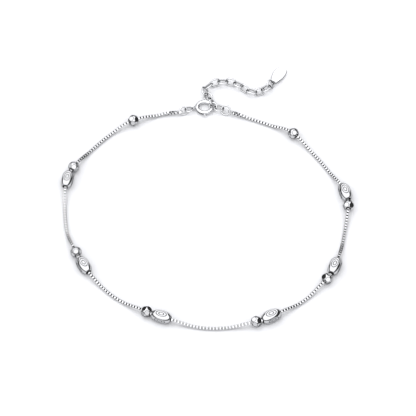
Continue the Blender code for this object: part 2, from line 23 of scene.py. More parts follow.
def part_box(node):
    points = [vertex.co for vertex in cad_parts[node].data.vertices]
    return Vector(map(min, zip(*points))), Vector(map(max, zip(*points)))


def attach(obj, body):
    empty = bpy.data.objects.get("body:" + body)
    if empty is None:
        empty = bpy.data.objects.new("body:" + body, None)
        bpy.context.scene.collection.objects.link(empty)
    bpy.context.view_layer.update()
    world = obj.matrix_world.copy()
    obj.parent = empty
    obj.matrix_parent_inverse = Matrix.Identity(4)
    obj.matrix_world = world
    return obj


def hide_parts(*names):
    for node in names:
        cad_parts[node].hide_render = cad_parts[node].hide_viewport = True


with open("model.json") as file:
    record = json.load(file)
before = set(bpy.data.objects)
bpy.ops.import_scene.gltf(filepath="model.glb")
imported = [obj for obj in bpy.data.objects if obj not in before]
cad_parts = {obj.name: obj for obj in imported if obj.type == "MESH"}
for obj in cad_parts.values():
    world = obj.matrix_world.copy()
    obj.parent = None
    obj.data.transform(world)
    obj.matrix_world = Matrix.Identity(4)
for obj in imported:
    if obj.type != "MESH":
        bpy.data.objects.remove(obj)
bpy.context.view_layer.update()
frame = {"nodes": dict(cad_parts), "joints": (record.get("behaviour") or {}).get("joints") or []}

LOG = logging.getLogger("anklet")
UP = Vector((0, 0, 1))
MM = 0.001

# Values that meshes carry: the painted shade, with some patina in hollows, on each corner, and
# the chain's roll

SHADE_AND_PATINA = "shade_and_patina"
ROLL = "roll"

# How near two corners count as one, and how near to a cutting plane counts as on it

WELD_DISTANCE = 0.0000002
CUT_TOLERANCE = 0.00000001
CORNER_DECIMALS = 8
ROUNDING_STEPS = 4


class Body(Enum):
    """The moving bodies of the anklet."""

    ANKLET = "anklet"
    BOLT = "bolt"


class Slot(Enum):
    """The finishes that the record names."""

    CHAIN = "chain_silver"
    ROUND_BEAD = "polished_bead_silver"
    OVAL_BEAD = "engraved_bead_silver"
    WIRE = "wire_silver"
    CLASP = "clasp_silver"
    BOLT = "bolt_silver"
    TAG = "tag_silver"


class Cut(Enum):
    """How a flat is left: plain, or hatched by the tool; its finish's place on the bead."""

    PLAIN = 1
    HATCHED = 2


class Combine(Enum):
    """What the second mesh does to the first."""

    CUT = "DIFFERENCE"
    JOIN = "UNION"


class Socket(Enum):
    """The types of a node tree's inputs and outputs."""

    NUMBER = "NodeSocketFloat"
    COUNT = "NodeSocketInt"
    COLOUR = "NodeSocketColor"
    SHAPE = "NodeSocketGeometry"
    FINISH = "NodeSocketMaterial"


# Small helpers for places and meshes


def heading(angle: float) -> Vector:
    """The level direction at an angle from +X."""
    return Vector((math.cos(angle), math.sin(angle), 0))


def frame_at(centre: Vector, forward: Vector, roll: float = 0.0) -> Matrix:
    """A matrix whose Z runs forward and whose Y points up and is rolled about Z.

    Args:
        centre: The place of its origin.
        forward: The direction of its Z axis.
        roll: The turn about Z, in radians.

    Returns:
        The 4x4 matrix.
    """
    z_axis = forward.normalized()
    x_axis = UP.cross(z_axis).normalized()
    turn = Matrix((x_axis, z_axis.cross(x_axis), z_axis)).transposed().to_4x4()
    return Matrix.Translation(centre) @ turn @ Matrix.Rotation(roll, 4, "Z")


def node_pose(name: str) -> Matrix:
    """Where a solid stands, from the spread of its corners.

    Args:
        name: The solid's name.

    Returns:
        A matrix at the middle of the solid, with Y along its longest way and Z along its
        thinnest, Z pointing up.
    """
    corners = np.array([corner.co for corner in frame["nodes"][name].data.vertices])
    corners = np.unique(np.round(corners, CORNER_DECIMALS), axis=0)
    mean = corners.mean(axis=0)
    axes = np.linalg.svd(corners - mean, full_matrices=False)[2]
    if axes[2][2] < 0:
        axes[2] = -axes[2]
    turn = Matrix((np.cross(axes[0], axes[2]), axes[0], axes[2])).transposed()
    reach = (corners - mean) @ np.array(turn)
    middle = Vector((reach.min(axis=0) + reach.max(axis=0)) / 2)
    return Matrix.Translation(Vector(mean) + turn @ middle) @ turn.to_4x4()


def node_middle(name: str) -> Vector:
    """The middle of a solid's box."""
    low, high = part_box(name)
    return (low + high) / 2


def paint_shade_and_patina(mesh: Mesh, depth: Callable[[Vector, Vector], float]) -> None:
    """Store on each corner how far painted shade, with some patina in hollows, darkens it, from 0
    to 1.

    Args:
        mesh: The mesh to mark.
        depth: Gives the value from a corner's place and normal.
    """
    values = [min(max(depth(v.co, v.normal), 0.0), 1.0) for v in mesh.vertices]
    layer = mesh.attributes.get(SHADE_AND_PATINA) or mesh.attributes.new(SHADE_AND_PATINA, "FLOAT", "POINT")
    layer.data.foreach_set("value", values)


def in_scene(name: str, data: ID) -> Object:
    """Put an object in the scene.

    Args:
        name: Its name.
        data: Its mesh, curve, lamp or camera.

    Returns:
        The object.
    """
    thing = bpy.data.objects.new(name, data)
    bpy.context.scene.collection.objects.link(thing)
    return thing


def new_mesh(name: str, shape: BMesh) -> Mesh:
    """Turn an edited shape into a mesh and free it.

    Args:
        name: The mesh's name.
        shape: The edited shape.

    Returns:
        The smooth-shaded mesh, its faces pointing outwards.
    """
    bmesh.ops.recalc_face_normals(shape, faces=shape.faces)
    mesh = bpy.data.meshes.new(name)
    shape.to_mesh(mesh)
    shape.free()
    mesh.shade_smooth()
    return mesh


def quarter_turn() -> list[float]:
    """The angles along a rounding, from 0 to a quarter turn."""
    return [math.pi / 2 * i / ROUNDING_STEPS for i in range(ROUNDING_STEPS + 1)]


def bridge(shape: BMesh, rings: list[list[BMVert]]) -> None:
    """Join each ring of corners to the next.

    Args:
        shape: The shape that takes the faces.
        rings: The rings in order, each with as many corners.
    """
    for near, far in zip(rings, rings[1:]):
        for i in range(len(near)):
            j = (i + 1) % len(near)
            shape.faces.new((near[i], near[j], far[j], far[i]))


def lathe(profile: list[tuple[float, float]], sides: int) -> BMesh:
    """Turn a profile about Z.

    Args:
        profile: Corners as (radius, height). It closes on itself, except where both of its
            ends lie on the axis.
        sides: The number of steps round the axis.

    Returns:
        The closed shape.
    """
    shape = bmesh.new()
    rings = []
    for radius, height in profile:
        spots = [radius * heading(2 * math.pi * i / sides) + height * UP for i in range(sides)]
        rings.append([shape.verts.new(spot) for spot in spots])
    if profile[0][0] or profile[-1][0]:
        rings.append(rings[0])
    bridge(shape, rings)
    bmesh.ops.remove_doubles(shape, verts=shape.verts, dist=WELD_DISTANCE)
    return shape


def level_tube(
    arc_radius: float, start: float, end: float, radius: float, rounding: float,
    sides: int, step: float,
) -> Mesh:
    """A round bar bent along a level arc, with rounded ends.

    Args:
        arc_radius: The radius of the arc that its middle follows.
        start: The angle where it starts.
        end: The angle where it ends.
        radius: The bar's own radius.
        rounding: The radius of the rounding at both ends, at most the bar's own.
        sides: The number of sides of the bar.
        step: The longest angle between two sections.

    Returns:
        The closed mesh.
    """
    caps = [(rounding * (1 - math.sin(turn)), radius - rounding * (1 - math.cos(turn)))
            for turn in quarter_turn()]
    count = math.ceil(abs(end - start) / step)
    sign = math.copysign(1, end - start)
    sections = [(start + sign * way / arc_radius, size) for way, size in reversed(caps)]
    sections += [(start + (end - start) * i / count, radius) for i in range(1, count)
                 if rounding < abs(end - start) * arc_radius * min(i, count - i) / count]
    sections += [(end - sign * way / arc_radius, size) for way, size in caps]
    shape = bmesh.new()
    rings = []
    for angle, size in sections:
        outward = heading(angle)
        ring = []
        for i in range(sides):
            turn = 2 * math.pi * i / sides
            spot = (arc_radius + size * math.cos(turn)) * outward + size * math.sin(turn) * UP
            ring.append(shape.verts.new(spot))
        rings.append(ring)
    bridge(shape, rings)
    shape.faces.new(rings[0])
    shape.faces.new(list(reversed(rings[-1])))
    return new_mesh("tube", shape)


def combine(mesh: Mesh, other: Mesh, way: Combine) -> Mesh:
    """Cut the other mesh from the first, or join it.

    Args:
        mesh: The mesh to change.
        other: The cutter or the mesh to join.
        way: Which of the two.

    Returns:
        The new mesh.
    """
    base = in_scene("base", mesh)
    tool = in_scene("tool", other)
    modifier = base.modifiers.new("join_or_cut", "BOOLEAN")
    modifier.operation = way.value
    modifier.solver = "EXACT"
    modifier.object = tool
    return evaluated(base, tool)


def evaluated(holder: Object, *helpers: Object) -> Mesh:
    """The plain mesh of an object with its modifiers; the object and its helpers go.

    Args:
        holder: The object to read.
        helpers: Other objects that its modifiers needed.

    Returns:
        The new mesh.
    """
    depsgraph = bpy.context.evaluated_depsgraph_get()
    mesh = bpy.data.meshes.new_from_object(holder.evaluated_get(depsgraph))
    holder.modifiers.clear()
    for spent in (holder, *helpers):
        bpy.data.objects.remove(spent)
    return mesh


def add_piece(
    name: str, mesh: Mesh, materials: list[Material], body: Body, slot: Slot, *nodes: str
) -> None:
    """Put a finished mesh in the scene in place of the solids that it stands for.

    Args:
        name: The piece's name.
        mesh: Its mesh, already in place.
        materials: Its materials, in the order of the faces' indices.
        body: The body that it moves with.
        slot: The record's finish that it takes; not used.
        nodes: The solids that it replaces.
    """
    mesh.name = name
    mesh.materials.clear()
    for material in materials:
        mesh.materials.append(material)
    piece = in_scene(name, mesh)
    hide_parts(*nodes)
    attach(piece, body.value)
    LOG.info("%s: %d faces", name, len(mesh.polygons))


# Node trees


class NodeSheet:
    """A node tree with short ways to add nodes and join them."""

    def __init__(self, tree: NodeTree) -> None:
        """Keep the tree that nodes go into."""
        self.tree = tree

    def add(self, kind: str, inputs: dict | None = None, **settings: object) -> Node:
        """Add a node.

        Args:
            kind: The node's type name.
            inputs: Values or sockets by the input's name or number.
            settings: The node's own properties.

        Returns:
            The node.
        """
        node = self.tree.nodes.new(kind)
        for name, value in settings.items():
            setattr(node, name, value)
        for name, value in (inputs or {}).items():
            if isinstance(value, NodeSocket):
                self.tree.links.new(value, node.inputs[name])
            else:
                node.inputs[name].default_value = value
        return node

    def math(self, operation: str, first: object, second: object = 0.0) -> NodeSocket:
        """The result of a sum of two numbers or sockets."""
        kind = "ShaderNodeMath"
        return self.add(kind, {0: first, 1: second}, operation=operation).outputs[0]

    def mix(self, share: object, low: object, high: object) -> NodeSocket:
        """The colour at a share of the way from a low to a high one."""
        kind = "ShaderNodeMix"
        return self.add(kind, {0: share, 6: low, 7: high}, data_type="RGBA").outputs[2]

    def close(self, geometry: NodeSocket, material: NodeSocket) -> None:
        """End a Geometry Nodes tree.

        Args:
            geometry: What the tree has made.
            material: The finish for it.
        """
        real = self.add("GeometryNodeRealizeInstances", {0: geometry})
        dressed = self.add("GeometryNodeSetMaterial", {
            "Geometry": real.outputs[0], "Material": material})
        self.add("NodeGroupOutput", {0: dressed.outputs[0]})


def new_tree(
    name: str, kind: str, inputs: dict[str, Socket], outputs: dict[str, Socket]
) -> tuple[NodeSheet, NodeOutputs]:
    """Start a node tree with named inputs and outputs.

    Args:
        name: The tree's name.
        kind: The tree's type name.
        inputs: Each input's type by its name.
        outputs: Each output's type by its name.

    Returns:
        The tree's sheet, and the sockets that hold its inputs.
    """
    tree = bpy.data.node_groups.new(name, kind)
    for way, sockets in (("INPUT", inputs), ("OUTPUT", outputs)):
        for label, socket in sockets.items():
            tree.interface.new_socket(label, in_out=way, socket_type=socket.value)
    sheet = NodeSheet(tree)
    return sheet, sheet.add("NodeGroupInput").outputs


@dataclass
class SharedEffects:
    """The shader node groups that all silvers use, each built once.

    Attributes:
        cloud_detail: How broken up the clouding is.
        drawing_turn: The turn of the way that the marks are drawn in.
        mark_detail: How broken up the marks are.
        mark_roughness: How strong their finest part is.
        unworn: The height of the marks up to which the metal stays smooth.
        worn: The height of the marks from which it is rough.
        line_waver: How far the hatched lines waver.
        line_detail: How broken up they are.
    """

    cloud_detail: float = 3.0
    drawing_turn: tuple[float, float, float] = (0.5, 0.3, 0.8)
    mark_detail: float = 4.0
    mark_roughness: float = 0.6
    unworn: float = 0.35
    worn: float = 0.7
    line_waver: float = 0.6
    line_detail: float = 1.0

    def __post_init__(self) -> None:
        """Build the groups."""
        self.shade_and_patina_tone = self.build_shade_and_patina_tone()
        self.marks = self.build_marks()
        self.hatching = self.build_hatching()

    def build_shade_and_patina_tone(self) -> NodeTree:
        """Build silver's tone, darkened by painted shade, with some patina, where the mesh marks
        it, and faintly clouded.

        Returns:
            The group.
        """
        sheet, given = new_tree("shade_and_patina_tone", "ShaderNodeTree", {
            "Bright": Socket.COLOUR, "Dark": Socket.COLOUR, "Shade And Patina Share": Socket.NUMBER,
            "Cloud Share": Socket.NUMBER, "Cloud Scale": Socket.NUMBER},
            {"Color": Socket.COLOUR})
        place = sheet.add("ShaderNodeTexCoord").outputs["Object"]
        cloud = sheet.add("ShaderNodeTexNoise", {
            "Vector": place, "Scale": given["Cloud Scale"],
            "Detail": self.cloud_detail}).outputs["Fac"]
        # The corners' painted shade, with some patina in hollows
        shade_and_patina = sheet.add("ShaderNodeAttribute", attribute_name=SHADE_AND_PATINA).outputs["Fac"]
        share = sheet.math("ADD", sheet.math("MULTIPLY", shade_and_patina, given["Shade And Patina Share"]),
                           sheet.math("MULTIPLY", cloud, given["Cloud Share"]))
        tone = sheet.mix(share, given["Bright"], given["Dark"])
        sheet.add("NodeGroupOutput", {"Color": tone})
        return sheet.tree

    def build_marks(self) -> NodeTree:
        """Build the fine polishing marks: their height, and the roughness that they leave.

        Returns:
            The group.
        """
        sheet, given = new_tree("polishing_marks", "ShaderNodeTree", {
            "Scale": Socket.NUMBER, "Stretch": Socket.NUMBER, "Smooth": Socket.NUMBER,
            "Rough": Socket.NUMBER}, {"Height": Socket.NUMBER, "Roughness": Socket.NUMBER})
        place = sheet.add("ShaderNodeTexCoord").outputs["Object"]
        length = sheet.add("ShaderNodeCombineXYZ", {"X": 1.0, "Y": given["Stretch"], "Z": 1.0})
        drawn = sheet.add("ShaderNodeMapping", {
            "Vector": place, "Rotation": self.drawing_turn, "Scale": length.outputs[0]})
        marks = sheet.add("ShaderNodeTexNoise", {
            "Vector": drawn.outputs[0], "Scale": given["Scale"], "Detail": self.mark_detail,
            "Roughness": self.mark_roughness}).outputs["Fac"]
        worn = sheet.add("ShaderNodeMapRange", {
            "Value": marks, "From Min": self.unworn, "From Max": self.worn,
            "To Min": given["Smooth"], "To Max": given["Rough"]}).outputs[0]
        sheet.add("NodeGroupOutput", {"Height": marks, "Roughness": worn})
        return sheet.tree

    def build_hatching(self) -> NodeTree:
        """Build the fine parallel lines of a hatched flat: their height and their shade.

        Returns:
            The group.
        """
        sheet, given = new_tree("hatching", "ShaderNodeTree", {
            "Scale": Socket.NUMBER, "Light": Socket.COLOUR, "Shade": Socket.COLOUR},
            {"Height": Socket.NUMBER, "Color": Socket.COLOUR})
        place = sheet.add("ShaderNodeTexCoord").outputs["Object"]
        lines = sheet.add("ShaderNodeTexWave", {
            "Vector": place, "Scale": given["Scale"], "Distortion": self.line_waver,
            "Detail": self.line_detail}, bands_direction="DIAGONAL").outputs["Fac"]
        tone = sheet.mix(lines, given["Shade"], given["Light"])
        sheet.add("NodeGroupOutput", {"Height": lines, "Color": tone})
        return sheet.tree


EFFECTS = SharedEffects()


# A Wave Texture's Scale for diagonal bands that lie 1 apart

DIAGONAL_BANDS = 2 * math.pi / (10 * math.sqrt(3))

# The red and the blue of a silver grey, over its green

RED_SHARE = 0.995
BLUE_SHARE = 1.012


def grey(tone: float) -> tuple[float, float, float, float]:
    """A silver grey, a touch cooler than neutral."""
    return (tone * RED_SHARE, tone, min(tone * BLUE_SHARE, 1.0), 1.0)


@dataclass(frozen=True)
class Silver:
    """A silver finish with painted shade, and some patina, where its mesh marks it, and fine
    polishing marks.

    Attributes:
        name: The material's name.
        bright: The tone of the open surface.
        dark: The tone of the recesses.
        shade_and_patina_share: How far a full recess goes to the dark tone.
        smooth: The roughness between the marks.
        rough: The roughness on the marks.
        mark_size: The spacing of the marks.
        mark_depth: Their depth.
        mark_stretch: How much shorter they are across the drawing way.
        cloud_share: How far the clouding goes to the dark tone.
        cloud_size: The size of the clouds.
        edge_tint: How bright the metal stays where it is seen edge-on.
    """

    name: str
    bright: float
    dark: float
    shade_and_patina_share: float = 0.9
    smooth: float = 0.05
    rough: float = 0.12
    mark_size: float = 0.09 * MM
    mark_depth: float = 0.0006 * MM
    mark_stretch: float = 5.0
    cloud_share: float = 0.06
    cloud_size: float = 1.3 * MM
    edge_tint: float = 0.3

    def material(self) -> Material:
        """The finish as a material, made once.

        Returns:
            The material.
        """
        found = bpy.data.materials.get(self.name)
        if found:
            return found
        material = bpy.data.materials.new(self.name)
        material.use_nodes = True
        sheet = NodeSheet(material.node_tree)
        shader = material.node_tree.nodes["Principled BSDF"]
        shader.inputs["Metallic"].default_value = 1.0
        shader.inputs["Specular Tint"].default_value = grey(self.edge_tint)
        marks = sheet.add("ShaderNodeGroup", {
            "Scale": 1 / self.mark_size, "Stretch": 1 / self.mark_stretch,
            "Smooth": self.smooth, "Rough": self.rough}, node_tree=EFFECTS.marks)
        colour, height = self.surface(sheet, marks)
        bump = sheet.add("ShaderNodeBump", {
            "Distance": self.mark_depth, "Strength": 1.0, "Height": height})
        for name, source in (("Base Color", colour), ("Roughness", marks.outputs["Roughness"]),
                             ("Normal", bump.outputs[0])):
            material.node_tree.links.new(source, shader.inputs[name])
        return material

    def surface(self, sheet: NodeSheet, marks: Node) -> tuple[NodeSocket, NodeSocket]:
        """The tarnished, finely marked surface.

        Args:
            sheet: The material's nodes.
            marks: The node of its polishing marks.

        Returns:
            The sockets of its colour and its height.
        """
        shade_and_patina_tone = sheet.add("ShaderNodeGroup", {
            "Bright": grey(self.bright), "Dark": grey(self.dark),
            "Shade And Patina Share": self.shade_and_patina_share, "Cloud Share": self.cloud_share,
            "Cloud Scale": 1 / self.cloud_size}, node_tree=EFFECTS.shade_and_patina_tone)
        return shade_and_patina_tone.outputs["Color"], marks.outputs["Height"]


@dataclass(frozen=True)
class HatchedSilver(Silver):
    """A flat that the tool has left with fine parallel lines."""

    line_spacing: float = 0.1 * MM

    def surface(self, sheet: NodeSheet, marks: Node) -> tuple[NodeSocket, NodeSocket]:
        """The hatched surface, in place of the finely marked one.

        Args:
            sheet: The material's nodes.
            marks: The node of its polishing marks.

        Returns:
            The sockets of its colour and its height.
        """
        lines = sheet.add("ShaderNodeGroup", {
            "Scale": DIAGONAL_BANDS / self.line_spacing, "Light": grey(self.bright),
            "Shade": grey(self.dark)}, node_tree=EFFECTS.hatching)
        return lines.outputs["Color"], lines.outputs["Height"]


# Each dark tone is the painted shade, with some patina in hollows, on the corners that a mesh
# marks
CHAIN_FINISH = Silver(
    "chain_link_silver", 0.72, 0.09, shade_and_patina_share=1.0, smooth=0.10, rough=0.2, edge_tint=0.8)
BALL_FINISH = Silver("mirror_bead_silver", 0.60, 0.01, shade_and_patina_share=1.0, smooth=0.03, rough=0.07)
FACET_FINISH = Silver(
    "cut_facet_silver", 0.66, 0.02, shade_and_patina_share=1.0, smooth=0.1, rough=0.18, edge_tint=0.6)
HATCHED_FINISH = HatchedSilver(
    "hatched_facet_silver", 0.68, 0.34, smooth=0.2, rough=0.35, mark_depth=0.004 * MM)
ENGRAVED_FINISH = Silver("engraved_window_silver", 0.80, 0.01, smooth=0.08, rough=0.16)
BARREL_FINISH = Silver("barrel_silver", 0.60, 0.01, shade_and_patina_share=1.0, smooth=0.04, rough=0.08)
WIRE_FINISH = Silver(
    "drawn_wire_silver", 0.70, 0.03, shade_and_patina_share=0.8, smooth=0.06, rough=0.12, edge_tint=0.5)
CLASP_FINISH = Silver(
    "clasp_tube_silver", 0.76, 0.02, shade_and_patina_share=1.0, smooth=0.06, rough=0.12, edge_tint=0.5)
BOLT_FINISH = Silver("sprung_bolt_silver", 0.70, 0.15, smooth=0.08, rough=0.16)
TAG_FINISH = Silver(
    "tag_plate_silver", 0.84, 0.03, shade_and_patina_share=1.0, smooth=0.06, rough=0.12,
    mark_depth=0.0003 * MM)


# Rings and links of bent wire


class WireTree:
    """The Geometry Nodes tree that bends a round wire to a closed ring or oval link."""

    def __init__(self) -> None:
        """Build the tree."""
        sheet, given = new_tree("bent_wire", "GeometryNodeTree", {
            "Geometry": Socket.SHAPE, "Bend Radius": Socket.NUMBER,
            "Half Straight": Socket.NUMBER, "Wire Radius": Socket.NUMBER,
            "Corners": Socket.COUNT, "Sides": Socket.COUNT, "Material": Socket.FINISH},
            {"Geometry": Socket.SHAPE})
        self.tree = sheet.tree
        circle = sheet.add("GeometryNodeCurvePrimitiveCircle", {
            "Resolution": given["Corners"], "Radius": given["Bend Radius"]})
        place = sheet.add("GeometryNodeInputPosition").outputs[0]
        side = sheet.math(
            "SIGN", sheet.add("ShaderNodeSeparateXYZ", {0: place}).outputs["Y"])
        shift = sheet.add("ShaderNodeCombineXYZ", {
            "Y": sheet.math("MULTIPLY", side, given["Half Straight"])})
        oval = sheet.add("GeometryNodeSetPosition", {
            "Geometry": circle.outputs["Curve"], "Offset": shift.outputs[0]})
        section = sheet.add("GeometryNodeCurvePrimitiveCircle", {
            "Resolution": given["Sides"], "Radius": given["Wire Radius"]})
        wire = sheet.add("GeometryNodeCurveToMesh", {
            "Curve": oval.outputs[0], "Profile Curve": section.outputs["Curve"]})
        # Painted shade on the side of the wire that faces the ring's middle
        normal = sheet.add("GeometryNodeInputNormal").outputs[0]
        inward = sheet.add("ShaderNodeVectorMath", {
            0: sheet.add("ShaderNodeVectorMath", {0: place}, operation="NORMALIZE").outputs[0],
            1: normal}, operation="DOT_PRODUCT").outputs["Value"]
        marked = sheet.add("GeometryNodeStoreNamedAttribute", {
            "Geometry": wire.outputs[0], "Name": SHADE_AND_PATINA,
            "Value": sheet.math("MAXIMUM", sheet.math("MULTIPLY", inward, -1.0), 0.0)})
        sheet.close(marked.outputs[0], given["Material"])

    def mesh(self, **sizes: object) -> Mesh:
        """The ring's mesh, flat in XY with its long way along Y."""
        return run_tree(self.tree, bpy.data.meshes.new("wire"), sizes)


def run_tree(tree: NodeTree, base: Mesh, sizes: dict[str, object]) -> Mesh:
    """Run a Geometry Nodes tree on a mesh.

    Args:
        tree: The tree.
        base: The mesh that it starts from.
        sizes: The tree's inputs by name, with _ for each space.

    Returns:
        The result as a plain, smooth-shaded mesh.
    """
    holder = in_scene("holder", base)
    modifier = holder.modifiers.new("nodes", "NODES")
    modifier.node_group = tree
    for item in tree.interface.items_tree:
        key = item.name.replace(" ", "_")
        if item.in_out == "INPUT" and key in sizes:
            modifier[item.identifier] = sizes[key]
    mesh = evaluated(holder)
    mesh.shade_smooth()
    return mesh


@dataclass
class WireRings:
    """The jump rings, and the links of the extension, all of bent round wire."""

    ring_wire: float = 0.4 * MM
    link_wire: float = 0.42 * MM
    link_length: float = 3.08 * MM
    link_width: float = 2.4 * MM
    link_count: int = 12
    corners: int = 56
    sides: int = 14
    ring_diameters: dict[str, float] = field(default_factory=lambda: {
        "clasp_jump_ring_1": 2.4 * MM, "clasp_jump_ring_2": 2.4 * MM, "hook_ring": 2.4 * MM,
        "end_jump_ring_1": 2.8 * MM, "end_jump_ring_2": 2.8 * MM, "tag_ring": 2.5 * MM})

    def build(self) -> None:
        """Make each ring and link where its solid stands."""
        tree = WireTree()
        for name, diameter in self.ring_diameters.items():
            self.place(tree, name, diameter, diameter, self.ring_wire)
        for index in range(self.link_count):
            name = f"extension_link_{index + 1}"
            self.place(tree, name, self.link_length, self.link_width, self.link_wire)

    def place(self, tree: WireTree, name: str, length: float, width: float, wire: float) -> None:
        """Make one ring or link.

        Args:
            tree: The tree that bends it.
            name: The solid that it stands for.
            length: Its outer length.
            width: Its outer width.
            wire: The wire's diameter.
        """
        finish = WIRE_FINISH.material()
        mesh = tree.mesh(
            Bend_Radius=(width - wire) / 2, Half_Straight=(length - width) / 2,
            Wire_Radius=wire / 2, Corners=self.corners, Sides=self.sides, Material=finish)
        mesh.transform(node_pose(name))
        add_piece(f"{name}_wire", mesh, [finish], Body.ANKLET, Slot.WIRE, name)


# Box chain

CHAIN_WIDTH = 0.8 * MM
FLOOR_GAP = 0.02 * MM

# The clasp's middle and the chain's route on the surface, both from the route's own origin

CLASP_CENTRE = Vector((-0.00065, 0.03615, 0))
CHAIN_ROUTE = [
    (-0.0119, 0.0338), (-0.0192, 0.0311), (-0.0244, 0.0276), (-0.0297, 0.0219),
    (-0.0343, 0.0153), (-0.0359, 0.0109), (-0.0363, 0.0045), (-0.0355, -0.0052),
    (-0.0331, -0.0122), (-0.0311, -0.0166), (-0.0279, -0.0211), (-0.0226, -0.0265),
    (-0.0151, -0.0313), (-0.0112, -0.0330), (-0.0057, -0.0347), (0.0000, -0.0358),
    (0.0058, -0.0356), (0.0125, -0.0344), (0.0163, -0.0326), (0.0236, -0.0277),
    (0.0286, -0.0226), (0.0305, -0.0203), (0.0324, -0.0163), (0.0341, -0.0098),
    (0.0356, -0.0006), (0.0360, 0.0029), (0.0353, 0.0074), (0.0324, 0.0128),
    (0.0277, 0.0202), (0.0221, 0.0269), (0.0172, 0.0298), (0.0115, 0.0323),
]


class ChainPath:
    """The line that the box chain follows on the surface, from its left end to its right."""

    curve_steps = 24
    search_steps = 20000
    reach = 0.4 * MM

    def __init__(self, left: Vector, right: Vector, shift: Vector) -> None:
        """Draw the smooth line through the route.

        Args:
            left: The chain's left end.
            right: Its right end.
            shift: From the route's own origin to the anklet's.
        """
        stops = [Vector((x, y, 0)) + shift for x, y in CHAIN_ROUTE]
        knots = [self.flat(left), *stops, self.flat(right)]
        knots = [2 * knots[0] - knots[1], *knots, 2 * knots[-1] - knots[-2]]
        dense = []
        for before, start, end, after in zip(knots, knots[1:], knots[2:], knots[3:]):
            for step in range(self.curve_steps):
                t = step / self.curve_steps
                dense.append(0.5 * (
                    2 * start + (end - before) * t
                    + (2 * before - 5 * start + 4 * end - after) * t ** 2
                    + (3 * start - before - 3 * end + after) * t ** 3))
        dense.append(knots[-2])
        self.points = np.array(dense)
        steps = np.linalg.norm(np.diff(self.points, axis=0), axis=1)
        self.marks = np.concatenate([[0.0], np.cumsum(steps)])
        self.length = float(self.marks[-1])

    @staticmethod
    def flat(point: Vector) -> Vector:
        """The point straight below on the surface."""
        return Vector((point.x, point.y, 0))

    def at(self, distance: float) -> Vector:
        """The point at a distance along the line."""
        return Vector([np.interp(distance, self.marks, self.points[:, k]) for k in range(3)])

    def nearest(self, point: Vector) -> float:
        """Find the spot of the line nearest to a point.

        Args:
            point: The point; its height doesn't count.

        Returns:
            The spot's distance along the line.
        """
        ways = np.linspace(0, self.length, self.search_steps)
        spots = np.stack([np.interp(ways, self.marks, self.points[:, k]) for k in range(2)], 1)
        gaps = np.linalg.norm(spots - np.array(point[:2]), axis=1)
        return float(ways[gaps.argmin()])

    def direction(self, distance: float) -> Vector:
        """The direction of the line at a distance along it."""
        ahead = self.at(min(distance + self.reach, self.length))
        return (ahead - self.at(max(distance - self.reach, 0.0))).normalized()


